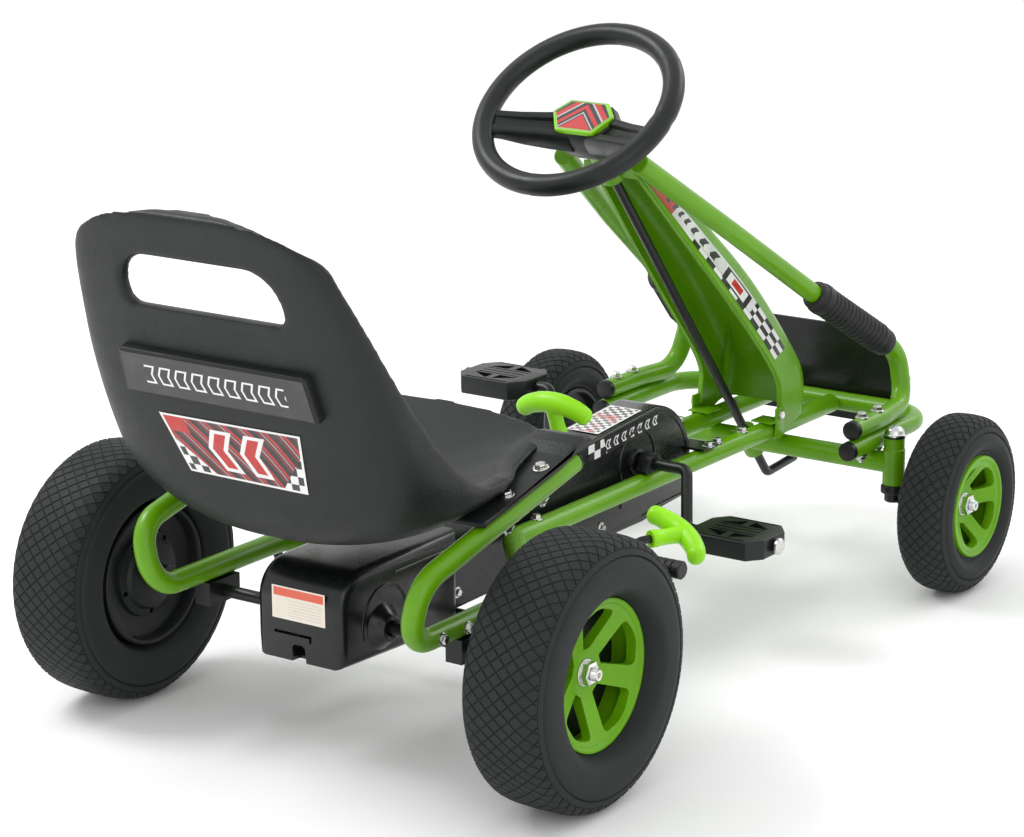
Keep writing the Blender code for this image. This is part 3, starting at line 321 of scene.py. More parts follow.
def inside_box(graph, u, v, low_u, high_u, low_v, high_v):
    """1 where u and v both lie between their limits."""
    return graph.times(inside(graph, u, low_u, high_u), inside(graph, v, low_v, high_v))


def chevrons(graph, u, v, count, lean, low, high):
    """Repeating bands that bend at half height, as 0 or 1."""
    bend = graph.times(graph.math("ABSOLUTE", graph.minus(v, 0.5)), -2.0 * lean)
    phase = graph.math("FRACT", graph.plus(graph.times(u, count), bend))
    return inside(graph, phase, low, high)


def chequers(graph, u, v, columns, rows):
    first = graph.math("FLOOR", graph.times(u, columns))
    second = graph.math("FLOOR", graph.times(v, rows))
    return graph.math("PINGPONG", graph.plus(first, second), 1.0)


def border(graph, u, v, width_u, width_v):
    """1 on a frame along the edges of the unit square."""
    inner = graph.times(inside(graph, u, width_u, 1 - width_u),
                       inside(graph, v, width_v, 1 - width_v))
    return graph.minus(1.0, inner)


def print_finish(graph, colour):
    """Vinyl print: slight fading and a fine film texture under a soft gloss."""
    faded = graph.mix(graph.ramp(graph.noise(45.0, 4.0), 0.50, 0.85, 0.0, 0.10), colour, (0.4, 0.4, 0.4))
    normal = graph.bump(graph.noise(500.0, 1.0), 0.08, 0.0003)
    return graph.finish(faded, graph.ramp(graph.noise(60.0, 3.0), 0.3, 0.7, 0.24, 0.36), normal,
                        coat=0.3, coat_roughness=0.15)


def seat_sticker():
    """Streaked ground, chequers in two corners and two large chevrons."""
    graph = Graph("seat_sticker")
    u, v = graph.uv()
    slant = graph.plus(graph.times(u, 7.0), graph.times(v, 2.6))
    shards = graph.noise(3.2, 2.0, 0.7)
    streak = graph.math("FRACT", graph.plus(slant, graph.times(shards, 2.2)))
    ground = graph.mix(inside(graph, streak, 0.0, 0.34), DARK_RED, INK)
    ground = graph.mix(inside(graph, streak, 0.60, 0.66), ground, SILVER)
    ground = graph.mix(inside(graph, streak, 0.78, 0.94), ground, RED)
    left = graph.below(graph.plus(u, graph.times(v, 0.42)), 0.25)
    right = graph.above(graph.minus(u, graph.times(v, 0.30)), 0.80)
    squares = graph.mix(chequers(graph, u, v, 16.0, 7.0), INK, WHITE)
    low_left = graph.times(left, graph.below(v, 0.62))
    low_right = graph.times(right, graph.below(v, 0.62))
    ground = graph.mix(graph.math("MAXIMUM", low_left, low_right), ground, squares)
    corner = graph.times(graph.below(u, 0.17), graph.above(v, 0.70))
    ground = graph.mix(corner, ground, RED)
    central = inside_box(graph, u, v, 0.27, 0.755, 0.14, 0.84)
    outline = graph.times(chevrons(graph, u, v, 4.1, 0.45, 0.10, 0.72), central)
    ground = graph.mix(outline, ground, WHITE)
    core = graph.times(chevrons(graph, u, v, 4.1, 0.45, 0.24, 0.58), central)
    core = graph.times(core, inside(graph, v, 0.20, 0.78))
    ground = graph.mix(core, ground, RED)
    colour = graph.mix(border(graph, u, v, 0.018, 0.036), ground, WHITE)
    return print_finish(graph, colour)


def bar_sticker():
    """Row of outlined chevrons on the seat's bar."""
    graph = Graph("bar_sticker")
    u, v = graph.uv()
    band = inside_box(graph, u, v, 0.118, 0.882, 0.27, 0.73)
    edge = chevrons(graph, u, v, 11.0, 0.42, 0.06, 0.74)
    core = chevrons(graph, u, v, 11.0, 0.42, 0.17, 0.63)
    core = graph.times(core, inside(graph, v, 0.315, 0.685))
    colour = graph.mix(graph.times(edge, band), (0.020, 0.018, 0.0175), WHITE)
    colour = graph.mix(graph.times(core, band), colour, INK)
    return print_finish(graph, colour)


def tower_sticker():
    """Long flash: red point at the top, chevrons, then chequers at the foot."""
    graph = Graph("tower_sticker")
    u, v = graph.uv()
    ground = graph.mix(graph.ramp(graph.noise(30.0, 3.0), 0.4, 0.7, 0.0, 0.5), WHITE, SILVER)
    ground = graph.mix(graph.below(u, 0.24), ground, RED)
    squares = graph.mix(chequers(graph, u, v, 22.0, 4.0), INK, WHITE)
    on_squares = graph.math("MAXIMUM", graph.above(u, 0.80),
                            graph.times(graph.below(v, 0.27),
                                       graph.above(u, 0.42)))
    ground = graph.mix(on_squares, ground, squares)
    marks = inside_box(graph, u, v, 0.14, 0.60, 0.36, 0.86)
    ground = graph.mix(graph.times(chevrons(graph, u, v, 15.0, 0.35, 0.12, 0.56), marks),
                       ground, INK)
    emblem = inside_box(graph, u, v, 0.63, 0.775, 0.16, 0.90)
    ground = graph.mix(emblem, ground, INK)
    core = inside_box(graph, u, v, 0.650, 0.755, 0.25, 0.81)
    ground = graph.mix(core, ground, WHITE)
    heart = inside_box(graph, u, v, 0.675, 0.730, 0.36, 0.70)
    return print_finish(graph, graph.mix(heart, ground, RED))


def guard_sticker(name, rows, chevron_count):
    """Chequers that run into a row of outlined chevrons."""
    graph = Graph(name)
    u, v = graph.uv()
    squares = graph.mix(chequers(graph, u, v, 6.0 * rows, float(rows)), INK, WHITE)
    marks = graph.times(chevrons(graph, u, v, chevron_count, 0.4, 0.12, 0.60),
                       inside(graph, v, 0.22, 0.80))
    core = graph.times(chevrons(graph, u, v, chevron_count, 0.4, 0.24, 0.48),
                      inside(graph, v, 0.30, 0.72))
    print_area = graph.mix(marks, INK, WHITE)
    print_area = graph.mix(core, print_area, INK)
    edge = graph.below(graph.plus(u, graph.times(v, 0.05)), 0.26)
    return print_finish(graph, graph.mix(edge, print_area, squares))


def guard_top_sticker():
    """Chequers with blotches of red."""
    graph = Graph("guard_top_sticker")
    u, v = graph.uv()
    squares = graph.mix(chequers(graph, u, v, 6.0, 16.0), (0.10, 0.10, 0.10), WHITE)
    blush = graph.ramp(graph.noise(26.0, 3.0), 0.48, 0.62, 0.0, 0.85)
    ground = graph.mix(blush, squares, RED)
    far = graph.mix(chequers(graph, u, v, 6.0, 16.0), INK, WHITE)
    ground = graph.mix(graph.ramp(v, 0.62, 0.72, 0.0, 1.0), ground, far)
    colour = graph.mix(border(graph, u, v, 0.06, 0.02), ground, WHITE)
    return print_finish(graph, colour)


def plain_label():
    """Two-tone label with nothing written on it."""
    graph = Graph("plain_label")
    u, v = graph.uv()
    rules = graph.times(inside(graph, graph.math("FRACT", graph.times(v, 11.0)), 0.3, 0.62),
                       inside_box(graph, u, v, 0.30, 0.92, 0.12, 0.62))
    body = graph.mix(graph.times(rules, 0.35), (0.80, 0.72, 0.62), (0.35, 0.34, 0.33))
    colour = graph.mix(graph.above(v, 0.70), body, (0.72, 0.10, 0.045))
    colour = graph.mix(border(graph, u, v, 0.03, 0.045), colour, (0.82, 0.76, 0.68))
    return print_finish(graph, colour)


def badge_print():
    """Stacked chevrons on the steering wheel's badge."""
    graph = Graph("badge_print")
    u, v = graph.uv()
    across = graph.math("ABSOLUTE", graph.minus(u, 0.5))
    rise = graph.plus(graph.times(across, 1.9), v)
    colour = graph.mix(inside(graph, rise, 0.55, 0.78), RED, INK)
    colour = graph.mix(inside(graph, rise, 0.60, 0.66), colour, SILVER)
    colour = graph.mix(inside(graph, rise, 0.95, 1.12), colour, INK)
    colour = graph.mix(inside(graph, rise, 1.12, 1.20), colour, SILVER)
    colour = graph.mix(graph.above(rise, 1.42), colour, INK)
    return print_finish(graph, colour)


PLASTICS = {
    # look: name, colour, roughness, grain scale, grain depth, coat, specular
    "rim": ("green_rim_plastic", (0.122, 0.335, 0.0020), 0.38, 700.0, 0.0002, 0.0, 0.25),
    "handle": ("green_handle_plastic", (0.270, 0.690, 0.0060), 0.36, 500.0, 0.0002, 0.0, 0.35),
    "seat": ("seat_plastic", (0.0125, 0.0145, 0.0142), 0.44, 420.0, 0.0005, 0.0, 0.30),
    "casing": ("black_gloss_plastic", (0.0060, 0.0070, 0.0072), 0.26, 900.0, 0.0001, 0.15, 0.35),
    "plastic": ("black_plastic", (0.0085, 0.0105, 0.0100), 0.36, 520.0, 0.0002, 0.0, 0.35),
    "disc": ("black_wheel_disc", (0.0070, 0.0085, 0.0088), 0.42, 300.0, 0.0003, 0.0, 0.30),
    "washer": ("pale_bush_plastic", (0.42, 0.50, 0.36), 0.4, 500.0, 0.0002, 0.0, 0.45),
}
MATERIALS = {look: moulded_plastic(*settings) for look, settings in PLASTICS.items()}
MATERIALS["paint"] = coated_steel("green_paint", (0.122, 0.330, 0.0015), 0.30, 0.12)
MATERIALS["steel"] = coated_steel("black_steel", (0.0075, 0.0085, 0.0088), 0.34, 0.10)
MATERIALS["zinc"] = zinc_plate()
MATERIALS["grip"] = grip_rubber()
MATERIALS["tyre"] = tyre_rubber("tyre_rubber", (0.0200, 0.0225, 0.0228))
# Darker copy of the tyre rubber for the carcass that shows between the tread blocks: painted shade in the
# grooves.
MATERIALS["groove"] = tyre_rubber("tread_groove_rubber", (0.0120, 0.0135, 0.0138))


# ---------------------------------------------------------------- mesh helpers
def add_piece(name, part, look, body, replaced=(), uvs=None, sharp=35.0):
    """Piece from (vertices, faces) in the row frame. uvs holds one pair per face corner."""
    vertices, faces = part
    mesh = bpy.data.meshes.new(name)
    mesh.from_pydata([tuple(v) for v in vertices], [], faces)
    if uvs is not None:
        layer = mesh.uv_layers.new(name="UVMap")
        layer.data.foreach_set("uv", [value for pair in uvs for value in pair])
    return add_mesh_piece(name, mesh, look, body, replaced, sharp)


def add_mesh_piece(name, mesh, look, body, replaced=(), sharp=35.0):
    piece = bpy.data.objects.new(name, mesh)
    bpy.context.scene.collection.objects.link(piece)
    material = look if isinstance(look, bpy.types.Material) else MATERIALS[look]
    mesh.materials.append(material)
    cage = bmesh.new()
    cage.from_mesh(mesh)
    bmesh.ops.recalc_face_normals(cage, faces=cage.faces)
    cage.to_mesh(mesh)
    cage.free()
    shade(piece, sharp)
    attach(piece, body)
    if replaced:
        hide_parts(*replaced)
    return piece


def merged(parts):
    """One vertex and face list from several."""
    vertices = []
    faces = []
    for part_vertices, part_faces in parts:
        offset = len(vertices)
        vertices += list(part_vertices)
        faces += [tuple(index + offset for index in face) for face in part_faces]
    return vertices, faces


def moved(part, matrix):
    vertices, faces = part
    return [matrix @ Vector(v) for v in vertices], faces


def rounded_path(corners, bend_radius, step_degrees=7.5):
    """Points along straight runs joined by arcs of one radius."""
    corners = [Vector(corner) for corner in corners]
    path = [corners[0]]
    for before, corner, after in zip(corners, corners[1:], corners[2:]):
        to_before = (before - corner).normalized()
        to_after = (after - corner).normalized()
        turn = math.pi - to_before.angle(to_after)
        reach = bend_radius * math.tan(turn / 2)
        reach = min(reach, 0.49 * (before - corner).length, 0.49 * (after - corner).length)
        radius = reach / math.tan(turn / 2)
        bisector = (to_before + to_after).normalized()
        centre = corner + bisector * (radius / math.cos(turn / 2))
        first = corner + to_before * reach - centre
        axis = first.cross(corner + to_after * reach - centre).normalized()
        steps = max(2, round(math.degrees(turn) / step_degrees))
        for step in range(steps + 1):
            path.append(centre + Matrix.Rotation(turn * step / steps, 3, axis) @ first)
    path.append(corners[-1])
    return path


def loft(rings, closed=False, capped=True):
    """Skin over rings that all have the same number of points."""
    count = len(rings[0])
    vertices = [point for ring in rings for point in ring]
    faces = []
    pairs = len(rings) if closed else len(rings) - 1
    for index in range(pairs):
        low = index * count
        high = ((index + 1) % len(rings)) * count
        for side in range(count):
            following = (side + 1) % count
            faces.append((low + side, low + following, high + following, high + side))
    if capped and not closed:
        faces.append(tuple(range(count))[::-1])
        faces.append(tuple(range(len(vertices) - count, len(vertices))))
    return vertices, faces


def sweep(path, section, sides=24, closed=False):
    """Skin that carries a section along a path without twisting.

    section is a radius, or a function of (share along the path, angle) that gives a radius.
    """
    path = [Vector(point) for point in path]
    lengths = [0.0]
    for before, after in zip(path, path[1:]):
        lengths.append(lengths[-1] + (after - before).length)
    rings = []
    normal = None
    for index, point in enumerate(path):
        if closed:
            direction = path[(index + 1) % len(path)] - path[index - 1]
        else:
            direction = path[min(index + 1, len(path) - 1)] - path[max(index - 1, 0)]
        direction.normalize()
        if normal is None:
            normal = Vector((0, 0, 1)) if abs(direction.z) < 0.9 else Vector((1, 0, 0))
        normal = (normal - direction * normal.dot(direction)).normalized()
        side_axis = direction.cross(normal)
        share = lengths[index] / lengths[-1]
        ring = []
        for side in range(sides):
            angle = 2 * math.pi * side / sides
            radius = section(share, angle) if callable(section) else section
            ring.append(point + (normal * math.cos(angle) + side_axis * math.sin(angle)) * radius)
        rings.append(ring)
    return loft(rings, closed)


def dense(path, spacing):
    """The same path with points added so that none is further apart than spacing."""
    result = [Vector(path[0])]
    for before, after in zip(path, path[1:]):
        before, after = Vector(before), Vector(after)
        steps = max(1, math.ceil((after - before).length / spacing))
        result += [before.lerp(after, step / steps) for step in range(1, steps + 1)]
    return result


def bar(path, radius, sides=24, soften=0.0012):
    """Round bar along a path, with softened end edges."""
    path = [Vector(point) for point in path]
    first = path[0] + (path[1] - path[0]).normalized() * soften
    last = path[-1] + (path[-2] - path[-1]).normalized() * soften
    softened = [path[0], first] + path[1:-1] + [last, path[-1]]

    def section(along, _angle):
        if along < 1e-6 or along > 1 - 1e-6:
            return radius - soften
        return radius

    return sweep(softened, section, sides)


def axis_matrix(centre, along):
    """Matrix with its origin at centre and +Z along a direction."""
    turn = Vector(along).to_track_quat("Z", "Y").to_matrix().to_4x4()
    return Matrix.Translation(Vector(centre)) @ turn


def lathe(profile, centre, along, steps=64):
    """Closed profile of (radius, height) turned about an axis."""
    place = axis_matrix(centre, along)
    count = len(profile)
    on_axis = profile[0][0] <= 0 and profile[-1][0] <= 0
    vertices = []
    for step in range(steps):
        angle = 2 * math.pi * step / steps
        for radius, height in profile:
            vertices.append(place @ Vector((radius * math.cos(angle), radius * math.sin(angle), height)))
    faces = []
    spans = count - 1 if on_axis else count
    for step in range(steps):
        following = (step + 1) % steps
        for index in range(spans):
            upper = (index + 1) % count
            faces.append((step * count + index, following * count + index,
                          following * count + upper, step * count + upper))
    return vertices, faces


def turned(name, profile, centre, along, look, body, replaced=(), steps=64, sharp=35.0):
    piece = add_piece(name, lathe(profile, centre, along, steps), look, body, replaced, sharp=sharp)
    weld(piece.data)
    shade(piece, sharp)
    return piece


def shade(piece, sharp):
    """Smooth shading, with edges sharper than an angle left hard."""
    piece.data.shade_smooth()
    if sharp is not None:
        piece.data.set_sharp_from_angle(angle=math.radians(sharp))


def weld(mesh, distance=0.000005):
    cage = bmesh.new()
    cage.from_mesh(mesh)
    bmesh.ops.remove_doubles(cage, verts=cage.verts, dist=distance)
    bmesh.ops.recalc_face_normals(cage, faces=cage.faces)
    cage.to_mesh(mesh)
    cage.free()


PLANES = {
    "YZ": Matrix(((0, 0, 1), (1, 0, 0), (0, 1, 0))).to_4x4(),
    "XY": Matrix.Identity(4),
    "XZ": Matrix(((1, 0, 0), (0, 0, -1), (0, 1, 0))).to_4x4(),
}


def plate_mesh(outlines, thickness, rounding, place):
    """Flat piece with rounded edges, from closed outlines, as a mesh."""
    curve = bpy.data.curves.new("plate", "CURVE")
    curve.dimensions = "2D"
    curve.fill_mode = "BOTH"
    curve.extrude = thickness / 2 - rounding
    curve.bevel_depth = rounding
    curve.bevel_resolution = 2
    curve.offset = -rounding
    for outline in outlines:
        spline = curve.splines.new("POLY")
        spline.points.add(len(outline) - 1)
        for point, (across, up) in zip(spline.points, outline):
            point.co = (across, up, 0.0, 1.0)
        spline.use_cyclic_u = True
    holder = bpy.data.objects.new("plate", curve)
    bpy.context.scene.collection.objects.link(holder)
    bpy.context.view_layer.update()
    evaluated = holder.evaluated_get(bpy.context.evaluated_depsgraph_get())
    mesh = bpy.data.meshes.new_from_object(evaluated)
    bpy.data.objects.remove(holder, do_unlink=True)
    bpy.data.curves.remove(curve)
    mesh.transform(place)
    weld(mesh, 0.00002)
    return mesh


def plate(name, outlines, thickness, centre, look, body, replaced=(), plane="YZ", rounding=0.0008,
          sharp=35.0):
    place = Matrix.Translation(at(*centre)) @ PLANES[plane]
    mesh = plate_mesh(outlines, thickness, rounding, place)
    return add_mesh_piece(name, mesh, look, body, replaced, sharp)


def apply_modifiers(piece):
    bpy.context.view_layer.update()
    evaluated = piece.evaluated_get(bpy.context.evaluated_depsgraph_get())
    mesh = bpy.data.meshes.new_from_object(evaluated)
    old = piece.data
    piece.modifiers.clear()
    piece.data = mesh
    mesh.name = old.name
    bpy.data.meshes.remove(old)


def add_bevel(piece, width, segments, degrees):
    step = piece.modifiers.new("soften", "BEVEL")
    step.width = width
    step.segments = segments
    step.limit_method = "ANGLE"
    step.angle_limit = math.radians(degrees)


def carve(piece, cutters, bevel=0.0, sharp=35.0):
    """Subtract closed (vertices, faces) shapes, or meshes, from a piece, then soften its edges."""
    tools = []
    for shape in cutters:
        mesh = shape
        if not isinstance(shape, bpy.types.Mesh):
            mesh = bpy.data.meshes.new("cutter")
            mesh.from_pydata([tuple(v) for v in shape[0]], [], shape[1])
            weld(mesh)
        tool = bpy.data.objects.new("cutter", mesh)
        bpy.context.scene.collection.objects.link(tool)
        tools.append(tool)
        step = piece.modifiers.new("cut", "BOOLEAN")
        step.operation = "DIFFERENCE"
        step.object = tool
    if bevel > 0:
        add_bevel(piece, bevel, 2, 40)
    apply_modifiers(piece)
    for tool in tools:
        bpy.data.objects.remove(tool, do_unlink=True)
    shade(piece, sharp)


def block(low, high):
    """Box between two corners given forward of the rear axle."""
    low, high = at(*low), at(*high)
    xs, ys, zs = (low.x, high.x), (low.y, high.y), (low.z, high.z)
    vertices = [Vector((x, y, z)) for z in zs for y in ys for x in xs]
    faces = [(0, 2, 3, 1), (4, 5, 7, 6), (0, 1, 5, 4), (2, 6, 7, 3), (0, 4, 6, 2), (1, 3, 7, 5)]
    return vertices, faces


def rod(start, end, radius, sides=24):
    """Round bar between two points given forward of the rear axle."""
    return bar([at(*start), at(*end)], radius, sides, soften=min(0.0006, radius * 0.2))


def soften(piece, width, degrees=30):
    """Round a piece's edges."""
    add_bevel(piece, width, 2, degrees)
    apply_modifiers(piece)
    shade(piece, 38)


def circle(radius, centre=(0.0, 0.0), count=32):
    angles = [2 * math.pi * index / count for index in range(count)]
    return [(centre[0] + radius * math.cos(a), centre[1] + radius * math.sin(a)) for a in angles]


def arc(centre, radius, start_degrees, end_degrees, steps):
    points = []
    for step in range(steps + 1):
        angle = math.radians(start_degrees + (end_degrees - start_degrees) * step / steps)
        points.append((centre[0] + radius * math.cos(angle), centre[1] + radius * math.sin(angle)))
    return points


def rounded_polygon(corners, radius, steps=5):
    """Polygon outline with each corner replaced by an arc. radius may be one per corner."""
    radii = radius if isinstance(radius, (list, tuple)) else [radius] * len(corners)
    outline = []
    for index, corner in enumerate(corners):
        here = Vector(corner)
        before = Vector(corners[index - 1])
        after = Vector(corners[(index + 1) % len(corners)])
        to_before = (before - here).normalized()
        to_after = (after - here).normalized()
        half_angle = to_before.angle(to_after) / 2
        reach = radii[index] / math.tan(half_angle)
        reach = min(reach, 0.49 * (before - here).length, 0.49 * (after - here).length)
        start = here + to_before * reach
        end = here + to_after * reach
        for step in range(steps + 1):
            share = step / steps
            first = start.lerp(here, share)
            second = here.lerp(end, share)
            outline.append(tuple(first.lerp(second, share)))
    return outline


def bolt_parts(centre, along, across_flats, height, washer, tip=0.0):
    """Hex nut on a washer, with a stud end that may stand proud. centre is in the row frame."""
    place = axis_matrix(centre, along)
    radius = across_flats / 2 / math.cos(math.pi / 6)
    parts = []
    rings = [[Vector((r * math.cos(a), r * math.sin(a), h))
              for a in (2 * math.pi * k / 24 for k in range(24))]
             for r, h in ((washer, 0.0), (washer, 0.0009), (washer - 0.0004, 0.0012))]
    parts.append(loft(rings))
    hexagon = []
    for r, h in ((radius, 0.0012), (radius, height - 0.0012), (radius * 0.84, height)):
        hexagon.append([Vector((r * math.cos(a), r * math.sin(a), h))
                        for a in (math.pi / 3 * k for k in range(6))])
    parts.append(loft(hexagon))
    if tip > 0:
        stud = across_flats * 0.29
        rings = [[Vector((r * math.cos(a), r * math.sin(a), h))
                  for a in (2 * math.pi * k / 16 for k in range(16))]
                 for r, h in ((stud, height - 0.001), (stud, height + tip - 0.0006),
                              (stud * 0.75, height + tip))]
        parts.append(loft(rings))
    return [moved(part, place) for part in parts]


def add_bolts(name, body, places):
    """One zinc piece with a bolt for each (centre, direction, across flats, height, washer, tip)."""
    parts = []
    for centre, along, *sizes in places:
        parts += bolt_parts(at(*centre), along, *sizes)
    return add_piece(name, merged(parts), "zinc", body, sharp=30)


def side_name(stem, side):
    return stem + ("_right" if side > 0 else "_left")


def tube(name, corners, radius, look, body, replaced=(), bend=0.03, sides=24):
    """Bent round tube through corner points given forward of the rear axle."""
    path = rounded_path([at(*corner) for corner in corners], bend)
    return add_piece(name, bar(path, radius, sides), look, body, replaced)


def curve_rows(table, steps):
    """The table's rows with steps in each gap, on a smooth curve through them."""
    rows = [Vector(row) for row in table]
    result = []
    for index in range(len(rows) - 1):
        before, start = rows[max(index - 1, 0)], rows[index]
        end, after = rows[index + 1], rows[min(index + 2, len(rows) - 1)]
        for step in range(steps):
            t = step / steps
            bend = (end - before) * 0.5 * (t - 2 * t ** 2 + t ** 3)
            bend += (after - start) * 0.5 * (t ** 3 - t ** 2)
            result.append(start * (1 - 3 * t ** 2 + 2 * t ** 3) + end * (3 * t ** 2 - 2 * t ** 3) + bend)
    result.append(rows[-1])
    return result


def prism(outline, rear_y, front_y):
    """Solid between two copies of an (x, z) outline."""
    return loft([[at(x, y, z) for x, z in outline] for y in (rear_y, front_y)])


# ---------------------------------------------------------------- wheels
SPOKES = 5
SPOKE_PITCH = 72
TREAD_DEPTH = 0.0009
GROOVE = 0.0010


def tyre_contour(wheel):
    """Half profile of the tyre from the middle of the tread to the rim, as (radius, distance out)."""
    half = wheel["width"] / 2
    floor = wheel["radius"] - TREAD_DEPTH
    flat = half - 0.011
    bore = wheel["rim"] + 0.0003
    crown = wheel["radius"]
    return [
        (floor, 0.0), (floor - 0.0003, flat * 0.5), (floor - 0.0012, flat * 0.85),
        (floor - 0.0030, flat), (floor - 0.0062, half - 0.0072), (floor - 0.0098, half - 0.0044),
        (crown - 0.0140, half - 0.0028), (crown - 0.0156, half - 0.0024),
        (crown - 0.0168, half - 0.0040), (crown - 0.0182, half - 0.0022),
        (crown - 0.0215, half - 0.0008), (crown - 0.0260, half), (bore + 0.0150, half - 0.0001),
        (bore + 0.0110, half - 0.0008), (bore + 0.0070, half - 0.0032),
        (bore + 0.0042, half - 0.0065 - 0.2 * wheel["lip"]),
        (bore + 0.0006, half - 0.0040 - 0.85 * wheel["lip"]), (bore, half - 0.0060 - wheel["lip"]),
    ]


def point_on_contour(contour, distance):
    """(radius, distance out, normal) on the tyre's contour at an arc length from the middle."""
    side = math.copysign(1.0, distance)
    left = abs(distance)
    for before, after in zip(contour, contour[1:]):
        length = math.dist(before, after)
        if left <= length:
            share = left / length
            normal = Vector((after[1] - before[1], before[0] - after[0])).normalized()
            return (before[0] + (after[0] - before[0]) * share,
                    side * (before[1] + (after[1] - before[1]) * share),
                    normal.x, side * normal.y)
        left -= length
    raise ValueError("past the end of the contour")


def clipped(polygon, limit):
    """Polygon of (along, across) points kept within |across| <= limit."""
    for sign in (1, -1):
        kept = []
        for here, following in zip(polygon, polygon[1:] + polygon[:1]):
            inside_here = sign * here[1] <= limit
            inside_next = sign * following[1] <= limit
            if inside_here:
                kept.append(here)
            if inside_here != inside_next:
                share = (sign * limit - here[1]) / (following[1] - here[1])
                kept.append((here[0] + (following[0] - here[0]) * share, sign * limit))
        polygon = kept
        if not polygon:
            return []
    return polygon


def tread_blocks(wheel, place):
    """Diamond blocks with chamfered edges, wrapped onto the tread."""
    contour = tyre_contour(wheel)
    pitch = 2 * math.pi * wheel["radius"] / wheel["pitches"]
    reach = wheel["width"] / 2 - 0.0020
    across_pitch = 2 * reach / (wheel["rows"] + 0.5)
    vertices = []
    faces = []
    levels = ((1.0, 0.0), (0.965, 0.72), (0.90, 1.0))
    shrink = 1 - GROOVE * math.sqrt(2) / min(pitch, across_pitch)
    for row in range(-wheel["rows"] - 1, wheel["rows"] + 2):
        for step in range(wheel["pitches"]):
            middle_along = (step + 0.5 * (row % 2)) * pitch
            middle_across = row * across_pitch / 2
            half_along = pitch / 2 * shrink
            half_across = across_pitch / 2 * shrink
            diamond = [(middle_along + half_along, middle_across),
                       (middle_along, middle_across + half_across),
                       (middle_along - half_along, middle_across),
                       (middle_along, middle_across - half_across)]
            diamond = clipped(diamond, reach)
            if len(diamond) < 3:
                continue
            centre = [sum(p[axis] for p in diamond) / len(diamond) for axis in (0, 1)]
            start = len(vertices)
            for share, height in levels:
                for along, across in diamond:
                    along = centre[0] + (along - centre[0]) * share
                    across = centre[1] + (across - centre[1]) * share
                    radius, out, normal_r, normal_x = point_on_contour(contour, across)
                    radius += normal_r * (TREAD_DEPTH * height - 0.0003 * (height == 0.0))
                    out += normal_x * TREAD_DEPTH * height
                    angle = along / wheel["radius"]
                    vertices.append(place @ Vector((radius * math.cos(angle),
                                                    radius * math.sin(angle), out)))
            count = len(diamond)
            for level in range(len(levels) - 1):
                low = start + level * count
                for corner in range(count):
                    following = (corner + 1) % count
                    faces.append((low + corner, low + following,
                                  low + count + following, low + count + corner))
            faces.append(tuple(range(start + 2 * count, start + 3 * count)))
            faces.append(tuple(range(start, start + count))[::-1])
    return vertices, faces


def spoke_window(wheel):
    """Outline of one opening between two spokes, about the wheel's centre, pointing up."""
    outer = wheel["rim"] - 0.0105
    inner = 0.0150 + 0.10 * wheel["rim"]
    wide = 0.43 * outer
    narrow = 0.22 * inner
    corners = [(-narrow, inner), (narrow, inner), (wide, outer * 0.895), (0.0, outer * 1.06),
               (-wide, outer * 0.895)]
    return rounded_polygon(corners, [0.0020, 0.0020, 0.0060, 0.030, 0.0060], 4)


def turned_outline(outline, degrees):
    turn = math.radians(degrees)
    return [(x * math.cos(turn) - y * math.sin(turn), x * math.sin(turn) + y * math.cos(turn))
            for x, y in outline]


